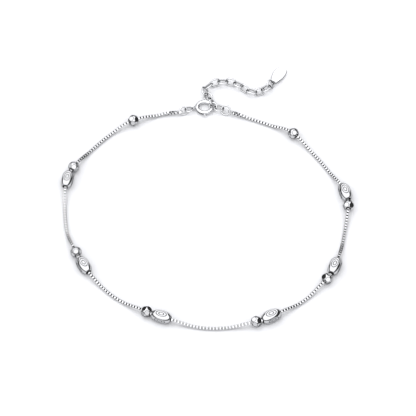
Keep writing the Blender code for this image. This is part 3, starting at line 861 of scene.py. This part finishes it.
class BoxLinkTree:
    """The Geometry Nodes tree that sets square links along a line, each turned a quarter."""

    outer_from = 0.46
    corner_steps = 2

    def __init__(self) -> None:
        """Build the tree."""
        sheet, given = new_tree("box_links", "GeometryNodeTree", {
            "Geometry": Socket.SHAPE, "Link Count": Socket.COUNT, "Link Length": Socket.NUMBER,
            "Link Width": Socket.NUMBER, "Strip Width": Socket.NUMBER,
            "Strip Thickness": Socket.NUMBER, "Corner Radius": Socket.NUMBER,
            "Edge Share": Socket.NUMBER, "Material": Socket.FINISH},
            {"Geometry": Socket.SHAPE})
        self.tree = sheet.tree
        rolls = sheet.add("GeometryNodeInputNamedAttribute", {"Name": ROLL}).outputs[0]
        line = sheet.add("GeometryNodeMeshToCurve", {"Mesh": given["Geometry"]})
        level = sheet.add("GeometryNodeSetCurveNormal", {0: line.outputs[0]}, mode="Z_UP")
        rolled = sheet.add("GeometryNodeSetCurveTilt", {
            "Curve": level.outputs[0], "Tilt": rolls})
        spots = sheet.add("GeometryNodeCurveToPoints", {
            "Curve": rolled.outputs[0], "Count": given["Link Count"]}, mode="COUNT")
        parity = sheet.math("MODULO", sheet.add("GeometryNodeInputIndex").outputs[0], 2.0)
        quarter = sheet.add("ShaderNodeCombineXYZ", {
            "Z": sheet.math("MULTIPLY", parity, math.pi / 2)})
        turn = sheet.add("FunctionNodeEulerToRotation", {0: quarter.outputs[0]})
        facing = sheet.add("FunctionNodeRotateRotation", {
            "Rotation": spots.outputs["Rotation"], "Rotate By": turn.outputs[0]},
            rotation_space="LOCAL")
        copies = sheet.add("GeometryNodeInstanceOnPoints", {
            "Points": spots.outputs["Points"], "Instance": self.link(sheet, given),
            "Rotation": facing.outputs[0]})
        sheet.close(copies.outputs[0], given["Material"])

    def link(self, sheet: NodeSheet, given: NodeOutputs) -> NodeSocket:
        """One square link of bent strip, its long way along Z and its hole along X.

        Args:
            sheet: The tree's nodes.
            given: The tree's inputs.

        Returns:
            The link, with painted shade on every face but the outer ones of its long sides, less
            on the strip's edges.
        """
        side = sheet.math("SUBTRACT", given["Link Width"], given["Strip Thickness"])
        way = sheet.math("SUBTRACT", given["Link Length"], given["Strip Thickness"])
        outline = sheet.add("GeometryNodeCurvePrimitiveQuadrilateral", {
            "Width": side, "Height": way})
        rounded = sheet.add("GeometryNodeFilletCurve", {
            "Curve": outline.outputs[0], "Radius": given["Corner Radius"],
            "Count": self.corner_steps}, mode="POLY")
        strip = sheet.add("GeometryNodeCurvePrimitiveQuadrilateral", {
            "Width": given["Strip Thickness"], "Height": given["Strip Width"]})
        bent = sheet.add("GeometryNodeCurveToMesh", {
            "Curve": rounded.outputs[0], "Profile Curve": strip.outputs[0]})
        place = sheet.add("ShaderNodeSeparateXYZ", {
            0: sheet.add("GeometryNodeInputPosition").outputs[0]}).outputs
        normal = sheet.add("ShaderNodeSeparateXYZ", {
            0: sheet.add("GeometryNodeInputNormal").outputs[0]}).outputs
        # Painted shade: dark on every face but the outer ones of the long sides, lighter on the
        # strip's edges
        limit = sheet.math("MULTIPLY", given["Link Width"], self.outer_from)
        outer = sheet.math(
            "GREATER_THAN", sheet.math("MULTIPLY", place["X"], normal["X"]), limit)
        edge = sheet.math("MULTIPLY", sheet.math("ABSOLUTE", normal["Z"]), given["Edge Share"])
        marked = sheet.add("GeometryNodeStoreNamedAttribute", {
            "Geometry": bent.outputs[0], "Name": SHADE_AND_PATINA,
            "Value": sheet.math("SUBTRACT", sheet.math("SUBTRACT", 1.0, outer), edge)},
            domain="FACE")
        upright = sheet.add("GeometryNodeTransform", {
            "Geometry": marked.outputs[0], "Rotation": (math.pi / 2, 0, math.pi / 2)})
        return upright.outputs[0]


@dataclass
class BoxChain:
    """The box chain of square links, with a longer link at each end round a jump ring.

    It is rolled towards the front, by front_lean at most, with a little sway. Each bead and each
    end ring lifts it, and it comes down to the surface over drop_run.
    """

    link_length: float = 0.655 * MM
    strip_width: float = 0.5 * MM
    strip_thickness: float = 0.12 * MM
    corner_radius: float = 0.062 * MM
    edge_share: float = 0.55
    pitch: float = 0.405 * MM
    end_link_length: float = 1.16 * MM
    end_link_shift: float = 0.04 * MM
    first_link: float = 0.66 * MM
    drop_run: float = 6.5 * MM
    end_roll: float = math.radians(45)
    end_roll_run: float = 5.0 * MM
    front_lean: float = 0.8
    sway: float = math.radians(4)
    sway_length: float = 23.0 * MM
    sway_beat: float = 2.7
    step: float = 0.15 * MM
    sharp_from: float = math.radians(50)
    ring_wire: float = 0.4 * MM
    left_ring: tuple[str, float, float] = ("clasp_jump_ring_2", 2.4 * MM, math.radians(204))
    right_ring: tuple[str, float, float] = ("end_jump_ring_2", 2.8 * MM, math.radians(-23))

    def __post_init__(self) -> None:
        """Find the ends of the chain on its rings, and the line between them."""
        clasp_axis = Vector(frame["joints"][0]["pos_m"])
        shift = ChainPath.flat(clasp_axis) - CLASP_CENTRE
        self.left = self.end_of(*self.left_ring)
        self.right = self.end_of(*self.right_ring)
        self.path = ChainPath(self.left, self.right, shift)
        self.holds: list[tuple[float, float, float]] = []

    def end_of(self, ring: str, diameter: float, angle: float) -> Vector:
        """Where the chain's end hole is, on the far rim of a jump ring."""
        return node_middle(ring) + (diameter - self.ring_wire) / 2 * heading(angle)

    def roll(self, distance: float) -> float:
        """How far the chain is rolled.

        Args:
            distance: The distance along it.

        Returns:
            The roll in radians.
        """
        end = min(distance, self.path.length - distance)
        share = ease(1 - end / self.end_roll_run)
        waves = math.sin(2 * math.pi * distance / self.sway_length)
        waves *= math.cos(2 * math.pi * distance / (self.sway_length * self.sway_beat))
        settled = math.atan(self.front_lean * self.path.direction(distance).x)
        return share * self.end_roll + (1 - share) * (settled + self.sway * waves)

    def height(self, distance: float) -> float:
        """How high the chain's middle runs.

        Args:
            distance: The distance along it.

        Returns:
            The height over the surface.
        """
        roll = abs(self.roll(distance))
        half, strip = CHAIN_WIDTH / 2, self.strip_width / 2
        floor = max(half * math.cos(roll) + strip * math.sin(roll),
                    strip * math.cos(roll) + half * math.sin(roll))
        ends = [(0.0, 0.0, self.left.z), (self.path.length, 0.0, self.right.z)]
        height = floor
        for station, half_length, top in [*ends, *self.holds]:
            away = max(abs(distance - station) - half_length, 0.0)
            height = max(height, floor + (top - floor) * ease(1 - away / self.drop_run))
        return height

    def spot(self, distance: float) -> Vector:
        """The chain's middle at a distance along it."""
        return self.path.at(distance) + self.height(distance) * UP

    def hold(self, centre: Vector, half_length: float) -> float:
        """Let a bead carry the chain.

        Args:
            centre: The bead's middle.
            half_length: Half of its length.

        Returns:
            The bead's distance along the chain.
        """
        station = self.path.nearest(centre)
        self.holds.append((station, half_length, centre.z - FLOOR_GAP))
        return station

    def links(
        self, tree: BoxLinkTree, spots: list[Vector], rolls: list[float], count: int,
        length: float,
    ) -> Mesh:
        """Set links along a line.

        Args:
            tree: The tree that sets them.
            spots: The line's points.
            rolls: The roll at each of them.
            count: The number of links.
            length: The length of each.

        Returns:
            Their mesh.
        """
        line = bpy.data.meshes.new("line")
        line.from_pydata(spots, [(i, i + 1) for i in range(len(spots) - 1)], [])
        layer = line.attributes.new(ROLL, "FLOAT", "POINT")
        layer.data.foreach_set("value", rolls)
        return run_tree(tree.tree, line, {
            "Link_Count": count, "Link_Length": length, "Link_Width": CHAIN_WIDTH,
            "Strip_Width": self.strip_width, "Strip_Thickness": self.strip_thickness,
            "Corner_Radius": self.corner_radius, "Edge_Share": self.edge_share,
            "Material": CHAIN_FINISH.material()})

    def build(self) -> None:
        """Make the links, and the longer link at each end."""
        tree = BoxLinkTree()
        span = self.path.length - 2 * self.first_link
        gaps = 2 * round(span / self.pitch / 2)
        count = round(span / self.step)
        ways = [self.first_link + span * i / count for i in range(count + 1)]
        whole = bmesh.new()
        meshes = [self.links(
            tree, [self.spot(way) for way in ways], [self.roll(way) for way in ways],
            gaps + 1, self.link_length)]
        for hole, (_, _, turn) in ((self.left, self.left_ring), (self.right, self.right_ring)):
            forward = heading(turn)
            middle = hole + self.end_link_shift * forward
            meshes.append(self.links(
                tree, [middle, middle + self.step * forward],
                [self.end_roll + math.pi / 2] * 2, 1, self.end_link_length))
        for mesh in meshes:
            whole.from_mesh(mesh)
        mesh = new_mesh("chain", whole)
        mesh.set_sharp_from_angle(angle=self.sharp_from)
        finish = CHAIN_FINISH.material()
        add_piece("box_chain_links", mesh, [finish], Body.ANKLET, Slot.CHAIN, "box_chain")
        LOG.info("box chain: %d links at %.3f mm", gaps + 1, span / gaps / MM)


def ease(value: float) -> float:
    """A smooth step from 0 to 1."""
    value = min(max(value, 0.0), 1.0)
    return value * value * (3 - 2 * value)


# Beads


@dataclass
class Bead:
    """A kind of drilled silver bead on the chain.

    The subclasses give its kind and form for the names, its slot and its finishes, of which the
    first is the body's and the others are the cuts', and cut its mesh.
    """

    kind: str
    form: str
    slot: Slot
    finishes: tuple[Silver, ...]
    count: int
    diameter: float
    length: float
    spins: tuple[float, ...]
    bore: float = 1.24 * MM
    rim_width: float = 0.2 * MM
    edge: float = 0.035 * MM
    sides: int = 80
    steps: int = 36
    wall_shares: tuple[float, ...] = (0.6, 0.2, -0.2, -0.6)

    def profile(self) -> list[tuple[float, float]]:
        """Draw the bead's section, with softened edges at the bore and the rim.

        Returns:
            Its corners as (radius, height).
        """
        bore = self.bore / 2
        rim = bore + self.rim_width
        top = self.length / 2
        radius = self.diameter / 2
        limit = math.acos(rim / radius)
        reach = top / math.sin(limit)
        outer = []
        for step in range(self.steps + 1):
            angle = limit * (1 - 2 * step / self.steps)
            outer.append((radius * math.cos(angle), reach * math.sin(angle)))
        outer = [spot for spot in outer if abs(spot[1]) < top - self.edge / 2]
        soft = self.edge * (1 - math.sqrt(0.5))
        mouth = [(bore, top - self.edge), (bore + soft, top - soft), (bore + self.edge, top)]
        shoulder = [(rim - self.edge, top), (rim - soft / 2, top - soft / 2)]
        upper = [*mouth, *shoulder]
        lower = [(across, -up) for across, up in reversed(upper)]
        walls = [(bore, -top * share) for share in self.wall_shares]
        return [*upper, *outer, *lower, *walls]

    def shave(self, shape: BMesh, normal: Vector, distance: float, cut: Cut) -> BMFace:
        """Cut the shape flat.

        Args:
            shape: The shape to cut.
            normal: The flat's normal.
            distance: The flat's distance from the bead's middle.
            cut: How the flat is left.

        Returns:
            The flat's face.
        """
        done = bmesh.ops.bisect_plane(
            shape, geom=[*shape.verts, *shape.edges, *shape.faces], dist=CUT_TOLERANCE,
            plane_co=normal * distance, plane_no=normal, clear_outer=True)
        edges = [item for item in done["geom_cut"] if isinstance(item, BMEdge)]
        face = bmesh.ops.edgeloop_fill(shape, edges=edges, mat_nr=cut.value)["faces"][0]
        for edge in face.edges:
            edge.smooth = False
        return face

    @staticmethod
    def set_rings(
        shape: BMesh, face: BMFace, normal: Vector, rings: list[tuple[float, float, bool]]
    ) -> set[BMVert]:
        """Set rings of corners into a flat, one inside the other.

        Args:
            shape: The bead.
            face: The flat's face.
            normal: The flat's normal.
            rings: Each ring's size over the flat's, its depth, and whether it is painted dark.

        Returns:
            The corners of the rings painted dark.
        """
        base = [corner.co.copy() for corner in face.verts]
        middle = normal * normal.dot(base[0])
        dark = set()
        for share, depth, is_dark in rings:
            bmesh.ops.inset_individual(shape, faces=[face], thickness=0.0, depth=0.0)
            for corner, start in zip(face.verts, base):
                corner.co = middle + (start - middle) * share - normal * depth
                if is_dark:
                    dark.add(corner)
        return dark

    def finished(self, shape: BMesh, dark: set[BMVert]) -> Mesh:
        """End the bead's mesh, with painted shade, and some patina, in its bore, and painted
        shade on its dark rings as well.

        Args:
            shape: The cut shape.
            dark: The corners of its dark rings.

        Returns:
            The mesh; the bore's painted shade fades out over its mouth.
        """
        shape.verts.index_update()
        deep = {corner.index for corner in dark}
        mesh = new_mesh("bead", shape)
        half = self.length / 2

        def depth(place: Vector, normal: Vector) -> float:
            """How deep a corner lies in the bore."""
            out = math.hypot(place.x, place.y) - self.bore / 2
            return 1 - out / self.rim_width if abs(place.z) <= half else 0.0

        paint_shade_and_patina(mesh, depth)
        layer = mesh.attributes[SHADE_AND_PATINA].data
        for index in deep:
            layer[index].value = 1.0
        return mesh

    def pose(self, chain: BoxChain, name: str) -> Matrix:
        """Where a bead stands.

        Args:
            chain: The chain that it lifts, and lies in line with.
            name: The solid that it stands for.

        Returns:
            A matrix at its middle, with Z along the chain.
        """
        centre = node_middle(name)
        half = self.length / 2
        station = chain.hold(centre, half)
        return frame_at(centre, chain.path.at(station + half) - chain.path.at(station - half))

    def mesh(self) -> Mesh:
        """Cut one bead about the origin, each subclass in its own way."""
        raise NotImplementedError

    def build(self, chain: BoxChain) -> None:
        """Make each bead where its solid stands.

        Args:
            chain: The chain that carries them.
        """
        materials = [finish.material() for finish in self.finishes]
        bead = self.mesh()
        for index in range(self.count):
            name = f"{self.kind}_bead_{index + 1}"
            mesh = bead.copy()
            spin = Matrix.Rotation(self.spins[index], 4, "Z")
            mesh.transform(self.pose(chain, name) @ spin)
            add_piece(f"{name}_{self.form}", mesh, materials, Body.ANKLET, self.slot, name)


@dataclass
class RoundBeads(Bead):
    """The drilled balls with two staggered rows of cut flats, each with a painted dark line of
    shade round it.
    """

    kind: str = "round"
    form: str = "ball"
    slot: Slot = Slot.ROUND_BEAD
    finishes: tuple[Silver, ...] = (BALL_FINISH, FACET_FINISH, HATCHED_FINISH)
    count: int = 8
    diameter: float = 2.85 * MM
    length: float = 2.331 * MM
    facet_depth: float = 0.17 * MM
    facets_per_row: int = 5
    facet_tilt: float = math.radians(29)
    line_shares: tuple[float, ...] = (0.99, 0.87, 0.84)
    hatched: tuple[int, ...] = (1, 4, 8)
    spins: tuple[float, ...] = (0.2, 1.1, 0.5, 2.4, 0.9, 1.7, 3.0, 0.7)

    def mesh(self) -> Mesh:
        """Drill and facet one ball.

        Returns:
            Its mesh, about the origin.
        """
        shape = lathe(self.profile(), self.sides)
        flats = []
        for row, side in enumerate((1, -1)):
            for index in range(self.facets_per_row):
                turn = 2 * math.pi * (index + row / 2) / self.facets_per_row
                normal = math.cos(self.facet_tilt) * heading(turn)
                normal += side * math.sin(self.facet_tilt) * UP
                number = row * self.facets_per_row + index
                cut = Cut.HATCHED if number in self.hatched else Cut.PLAIN
                face = self.shave(shape, normal, self.diameter / 2 - self.facet_depth, cut)
                flats.append((face, normal))
        # Two rings of corners painted dark draw each flat's line of painted shade; the third
        # keeps the flat clear
        start, end, clear = self.line_shares
        rings = [(start, 0.0, True), (end, 0.0, True), (clear, 0.0, False)]
        dark = set()
        for face, normal in flats:
            dark |= self.set_rings(shape, face, normal, rings)
        return self.finished(shape, dark)


@dataclass
class OvalBeads(Bead):
    """The drilled barrels with four flat windows, each engraved with oval rings."""

    kind: str = "oval"
    form: str = "barrel"
    slot: Slot = Slot.OVAL_BEAD
    finishes: tuple[Silver, ...] = (BARREL_FINISH, ENGRAVED_FINISH)
    count: int = 6
    diameter: float = 3.4 * MM
    length: float = 5.0 * MM
    spins: tuple[float, ...] = (0.0,) * 6
    window_depth: float = 0.34 * MM
    windows: int = 4
    grooves: int = 2
    groove_width: float = 0.19
    groove_depth: float = 0.05 * MM
    centre_share: float = 0.2
    groove_place: float = 0.55

    def groove_rings(self) -> list[tuple[float, float, bool]]:
        """Lay out a window's oval grooves.

        Returns:
            The rings of corners for set_rings, with painted shade at the bottoms of the grooves.
        """
        pitch = (1 - self.centre_share) / self.grooves
        rings = []
        for groove in range(self.grooves):
            share = 1 - pitch * (groove + self.groove_place)
            rings += [(share + self.groove_width / 2, 0.0, False),
                      (share, self.groove_depth, True),
                      (share - self.groove_width / 2, 0.0, False)]
        return rings

    def mesh(self) -> Mesh:
        """Drill, cut and engrave one barrel.

        Returns:
            Its mesh, about the origin.
        """
        shape = lathe(self.profile(), self.sides)
        normals = [heading(2 * math.pi * i / self.windows) for i in range(self.windows)]
        faces = [self.shave(shape, normal, self.diameter / 2 - self.window_depth, Cut.PLAIN)
                 for normal in normals]
        dark = set()
        for face, normal in zip(faces, normals):
            dark |= self.set_rings(shape, face, normal, self.groove_rings())
        return self.finished(shape, dark)


# Clasp and tag


@dataclass
class SpringRingClasp:
    """The round tube with its gap and standing eye, and the sprung bolt inside it."""

    radius: float = 1.9 * MM
    tube: float = 1.0 * MM
    bore: float = 0.66 * MM
    gap_start: float = math.radians(-25)
    gap_end: float = math.radians(40)
    pocket_end: float = math.radians(56)
    bolt: float = 0.52 * MM
    bolt_tip: float = math.radians(50)
    bolt_tail: float = math.radians(-106)
    bolt_travel: float = math.radians(60)
    end_room: float = math.radians(4)
    knob_angle: float = math.radians(-88)
    stem: float = 0.24 * MM
    knob: float = 0.68 * MM
    knob_length: float = 0.36 * MM
    knob_standoff: float = 0.1 * MM
    knob_edge: float = 0.09 * MM
    slot: float = 0.4 * MM
    eye: float = 1.5 * MM
    eye_wire: float = 0.34 * MM
    eye_angle: float = math.radians(186)
    eye_sink: float = 0.08 * MM
    eye_corners: int = 48
    eye_sides: int = 14
    tube_rounding: float = 0.07 * MM
    cutter_rounding: float = 0.01 * MM
    bolt_rounding: float = 0.9
    dark_reach: float = 1.6
    tube_sharp_from: float = math.radians(38)
    bolt_sharp_from: float = math.radians(40)
    sides: int = 28
    step: float = math.radians(3)

    def build(self) -> None:
        """Make the tube with its eye, and the bolt."""
        centre = Vector(frame["joints"][0]["pos_m"])
        self.build_tube(Matrix.Translation(centre))
        self.build_bolt(Matrix.Translation(centre))

    def bar(
        self, start: float, end: float, diameter: float, rounding: float, outset: float = 0.0
    ) -> Mesh:
        """A round bar bent about the clasp's middle, outset from the clasp's own radius."""
        return level_tube(
            self.radius + outset, start, end, diameter / 2, rounding, self.sides, self.step)

    def build_tube(self, place: Matrix) -> None:
        """Bend the tube, hollow it, slot it and join its eye.

        Args:
            place: Where the clasp's middle is.
        """
        tube = self.bar(self.gap_end, self.gap_start + 2 * math.pi, self.tube, self.tube_rounding)
        clearance = (self.bore - self.bolt) / 2
        slot_room = (clearance + self.stem) / self.radius
        cutters = [
            self.bar(self.gap_start + self.end_room,
                     self.bolt_tail - self.bolt_travel - self.end_room,
                     self.bore, self.cutter_rounding),
            self.bar(self.gap_end - self.end_room, self.pocket_end, self.bore,
                     self.cutter_rounding),
            self.bar(self.knob_angle + slot_room, self.knob_angle - self.bolt_travel - slot_room,
                     self.slot, self.slot / 2, (self.tube + self.bore) / 4)]
        for cutter in cutters:
            tube = combine(tube, cutter, Combine.CUT)
        finish = CLASP_FINISH.material()
        eye = WireTree().mesh(
            Bend_Radius=(self.eye - self.eye_wire) / 2, Half_Straight=0.0,
            Wire_Radius=self.eye_wire / 2, Corners=self.eye_corners, Sides=self.eye_sides,
            Material=finish)
        away = self.radius + (self.tube + self.eye) / 2 - self.eye_sink
        standing = frame_at(away * heading(self.eye_angle), heading(self.eye_angle))
        eye.transform(standing @ Matrix.Rotation(math.pi / 2, 4, "Y"))
        tube = combine(tube, eye, Combine.JOIN)
        tube.shade_smooth()
        tube.set_sharp_from_angle(angle=self.tube_sharp_from)
        inside = self.bore / 2
        wall = self.tube / 2 - inside

        # Painted shade, with some patina, darkens the inside of the tube
        def depth(spot: Vector, normal: Vector) -> float:
            """How deep a corner lies inside the tube."""
            out = math.hypot(math.hypot(spot.x, spot.y) - self.radius, spot.z)
            return 1 - (out - inside) / wall * self.dark_reach

        paint_shade_and_patina(tube, depth)
        tube.transform(place)
        add_piece("clasp_tube", tube, [finish], Body.ANKLET, Slot.CLASP, "clasp_ring")

    def build_bolt(self, place: Matrix) -> None:
        """Bend the bolt, round its ends and join its knob.

        Args:
            place: Where the clasp's middle is.
        """
        rounding = self.bolt / 2 * self.bolt_rounding
        bolt = self.bar(self.bolt_tail, self.bolt_tip, self.bolt, rounding)
        foot = self.radius + self.tube / 2 + self.knob_standoff
        top = foot + self.knob_length
        button = self.knob / 2
        edge = self.knob_edge
        profile = [(0.0, self.radius), (self.stem / 2, self.radius), (self.stem / 2, foot)]
        profile += [(button - edge + edge * math.sin(turn), foot + edge - edge * math.cos(turn))
                    for turn in quarter_turn()]
        profile += [(button - edge + edge * math.cos(turn), top - edge + edge * math.sin(turn))
                    for turn in quarter_turn()]
        profile.append((0.0, top))
        knob = new_mesh("knob", lathe(profile, self.sides))
        knob.transform(frame_at(Vector(), heading(self.knob_angle)))
        bolt = combine(bolt, knob, Combine.JOIN)
        bolt.shade_smooth()
        bolt.set_sharp_from_angle(angle=self.bolt_sharp_from)
        paint_shade_and_patina(bolt, lambda spot, normal: 0.0)
        bolt.transform(place)
        finish = BOLT_FINISH.material()
        add_piece("clasp_bolt_bar", bolt, [finish], Body.BOLT, Slot.BOLT, "clasp_bolt")


@dataclass
class Tag:
    """The thin bare plate at the end of the extension."""

    length: float = 7.3 * MM
    width: float = 3.2 * MM
    taper: float = 0.42
    thickness: float = 0.3 * MM
    edge: float = 0.13 * MM
    edge_steps: int = 3
    hole: float = 0.98 * MM
    hole_inset: float = 0.82 * MM
    corners: int = 96
    hole_corners: int = 40
    flatness: float = 0.999
    aim: float = math.radians(64)

    def outline(self, length: float, width: float, taper: float, count: int) -> list[Vector]:
        """Draw an oval.

        Args:
            length: Its length along X.
            width: Its width.
            taper: How much wider it is towards +X; 0 gives an ellipse.
            count: The number of corners.

        Returns:
            Its corners.
        """
        turns = [2 * math.pi * i / count for i in range(count)]
        bulges = [math.sin(turn) * (1 + taper * math.cos(turn)) for turn in turns]
        return [Vector((length / 2 * math.cos(turn), width / 2 * bulge / max(bulges), 0))
                for turn, bulge in zip(turns, bulges)]

    def build(self) -> None:
        """Cut the plate, soften its edges and lay it where its solid lies."""
        curve = bpy.data.curves.new("tag", "CURVE")
        curve.dimensions = "2D"
        curve.fill_mode = "BOTH"
        curve.extrude = self.thickness / 2 - self.edge
        curve.bevel_depth = self.edge
        curve.bevel_resolution = self.edge_steps
        curve.offset = -self.edge
        plate = self.outline(self.length, self.width, self.taper, self.corners)
        hole = self.outline(self.hole, self.hole, 0.0, self.hole_corners)
        hole_shift = Vector((self.hole_inset - self.length / 2, 0, 0))
        for corners in (plate, [corner + hole_shift for corner in hole]):
            spline = curve.splines.new("POLY")
            spline.points.add(len(corners) - 1)
            for spot, corner in zip(spline.points, corners):
                spot.co = (*corner, 1)
            spline.use_cyclic_u = True
        shape = bmesh.new()
        shape.from_mesh(evaluated(in_scene("tag", curve)))
        bmesh.ops.remove_doubles(shape, verts=shape.verts, dist=WELD_DISTANCE)
        for face in shape.faces:
            face.normal_update()
            if abs(face.normal.z) > self.flatness:
                for edge in face.edges:
                    edge.smooth = False
        mesh = new_mesh("tag", shape)
        # Painted shade darkens the plate's rims, the more they face sideways
        paint_shade_and_patina(mesh, lambda spot, normal: 1 - abs(normal.z))
        pose = node_pose("tag")
        along = pose.to_3x3() @ Vector((0, 1, 0))
        lengthwise = math.copysign(math.pi / 2, along.dot(heading(self.aim)))
        mesh.transform(pose @ Matrix.Rotation(lengthwise, 4, "Z"))
        add_piece("tag_plate", mesh, [TAG_FINISH.material()], Body.ANKLET, Slot.TAG, "tag")


# Studio


@dataclass
class Studio:
    """The pale floor, the soft light and the camera.

    The dome's dark band reaches up to band_height. It rises towards band_tilt, and to both sides.
    """

    target: Vector = field(default_factory=lambda: Vector((0.000268, -0.004159, 0)))
    elevation: float = math.radians(51)
    distance: float = 0.9
    lens: float = 305.43
    clip_range: tuple[float, float] = (0.009, 9.0)
    floor_radius: float = 0.6
    floor_drop: float = 0.01 * MM
    key_place: Vector = field(default_factory=lambda: Vector((-0.24, 0.22, 0.85)))
    key_size: float = 0.4
    key_power: float = 0.6
    sky_strength: float = 1.75
    floor_sides: int = 128
    floor_tones: tuple[float, float] = (0.73, 0.75)
    floor_roughness: float = 0.9
    floor_grain: float = 40.0
    dome_tone: tuple[float, float, float, float] = (1.0, 1.0, 1.02, 1.0)
    band_height: float = 0.4
    band_tilt: Vector = field(default_factory=lambda: Vector((0.13, 0.13, 0)))
    band_sides: float = 0.06
    band_softness: float = 0.05
    band_tone: float = 0.03

    def build(self) -> None:
        """Set the stage."""
        self.build_floor()
        self.build_world()
        self.build_light()
        self.build_camera()
        view = bpy.context.scene.view_settings
        view.view_transform = "Standard"

    def build_floor(self) -> None:
        """A wide pale disc just under the anklet."""
        shape = bmesh.new()
        bmesh.ops.create_circle(
            shape, cap_ends=True, segments=self.floor_sides, radius=self.floor_radius)
        mesh = new_mesh("floor", shape)
        mesh.transform(Matrix.Translation(-self.floor_drop * UP))
        material = bpy.data.materials.new("pale_floor")
        material.use_nodes = True
        sheet = NodeSheet(material.node_tree)
        shader = material.node_tree.nodes["Principled BSDF"]
        shader.inputs["Roughness"].default_value = self.floor_roughness
        shader.inputs["Specular IOR Level"].default_value = 0.0
        place = sheet.add("ShaderNodeTexCoord").outputs["Object"]
        grain = sheet.add("ShaderNodeTexNoise", {
            "Vector": place, "Scale": self.floor_grain}).outputs["Fac"]
        tone = sheet.mix(grain, *(grey(tone) for tone in self.floor_tones))
        material.node_tree.links.new(tone, shader.inputs["Base Color"])
        mesh.materials.append(material)
        floor = in_scene("floor", mesh)

    def build_world(self) -> None:
        """A bright dome with a dark band over the horizon, higher on the right and behind."""
        world = bpy.data.worlds.new("studio")
        world.use_nodes = True
        bpy.context.scene.world = world
        sheet = NodeSheet(world.node_tree)
        ground = world.node_tree.nodes["Background"]
        way = sheet.add("ShaderNodeTexCoord").outputs["Generated"]
        parts = sheet.add("ShaderNodeSeparateXYZ", {0: way}).outputs
        tilt = sheet.add("ShaderNodeVectorMath", {0: way, 1: self.band_tilt},
                         operation="DOT_PRODUCT").outputs["Value"]
        sides = sheet.math("MULTIPLY", sheet.math("ABSOLUTE", parts["X"]), self.band_sides)
        top = sheet.math("ADD", sheet.math("ADD", tilt, sides), self.band_height)
        share = sheet.add("ShaderNodeMapRange", {
            "Value": sheet.math("SUBTRACT", parts["Z"], top), "From Min": -self.band_softness,
            "From Max": self.band_softness}, interpolation_type="SMOOTHSTEP").outputs[0]
        shade = sheet.mix(share, grey(self.band_tone), self.dome_tone)
        world.node_tree.links.new(shade, ground.inputs["Color"])
        ground.inputs["Strength"].default_value = self.sky_strength

    def build_light(self) -> None:
        """One soft lamp, up on the left behind the anklet."""
        light = bpy.data.lights.new("key", "AREA")
        light.shape = "DISK"
        light.size = self.key_size
        light.energy = self.key_power
        in_scene("key", light).matrix_world = frame_at(self.key_place, self.key_place)

    def build_camera(self) -> None:
        """The camera at the reference view."""
        back = Vector((0, -math.cos(self.elevation), math.sin(self.elevation)))
        data = bpy.data.cameras.new("camera")
        data.lens = self.lens
        data.clip_start, data.clip_end = self.clip_range
        camera = in_scene("camera", data)
        camera.matrix_world = frame_at(self.target + self.distance * back, back)
        bpy.context.scene.camera = camera


def main() -> None:
    """Build the studio, then each sub-assembly in order."""
    logging.basicConfig(level=logging.INFO, format="%(message)s")
    Studio().build()
    chain = BoxChain()
    RoundBeads().build(chain)
    OvalBeads().build(chain)
    chain.build()
    WireRings().build()
    SpringRingClasp().build()
    Tag().build()


if __name__ == "__main__":
    main()
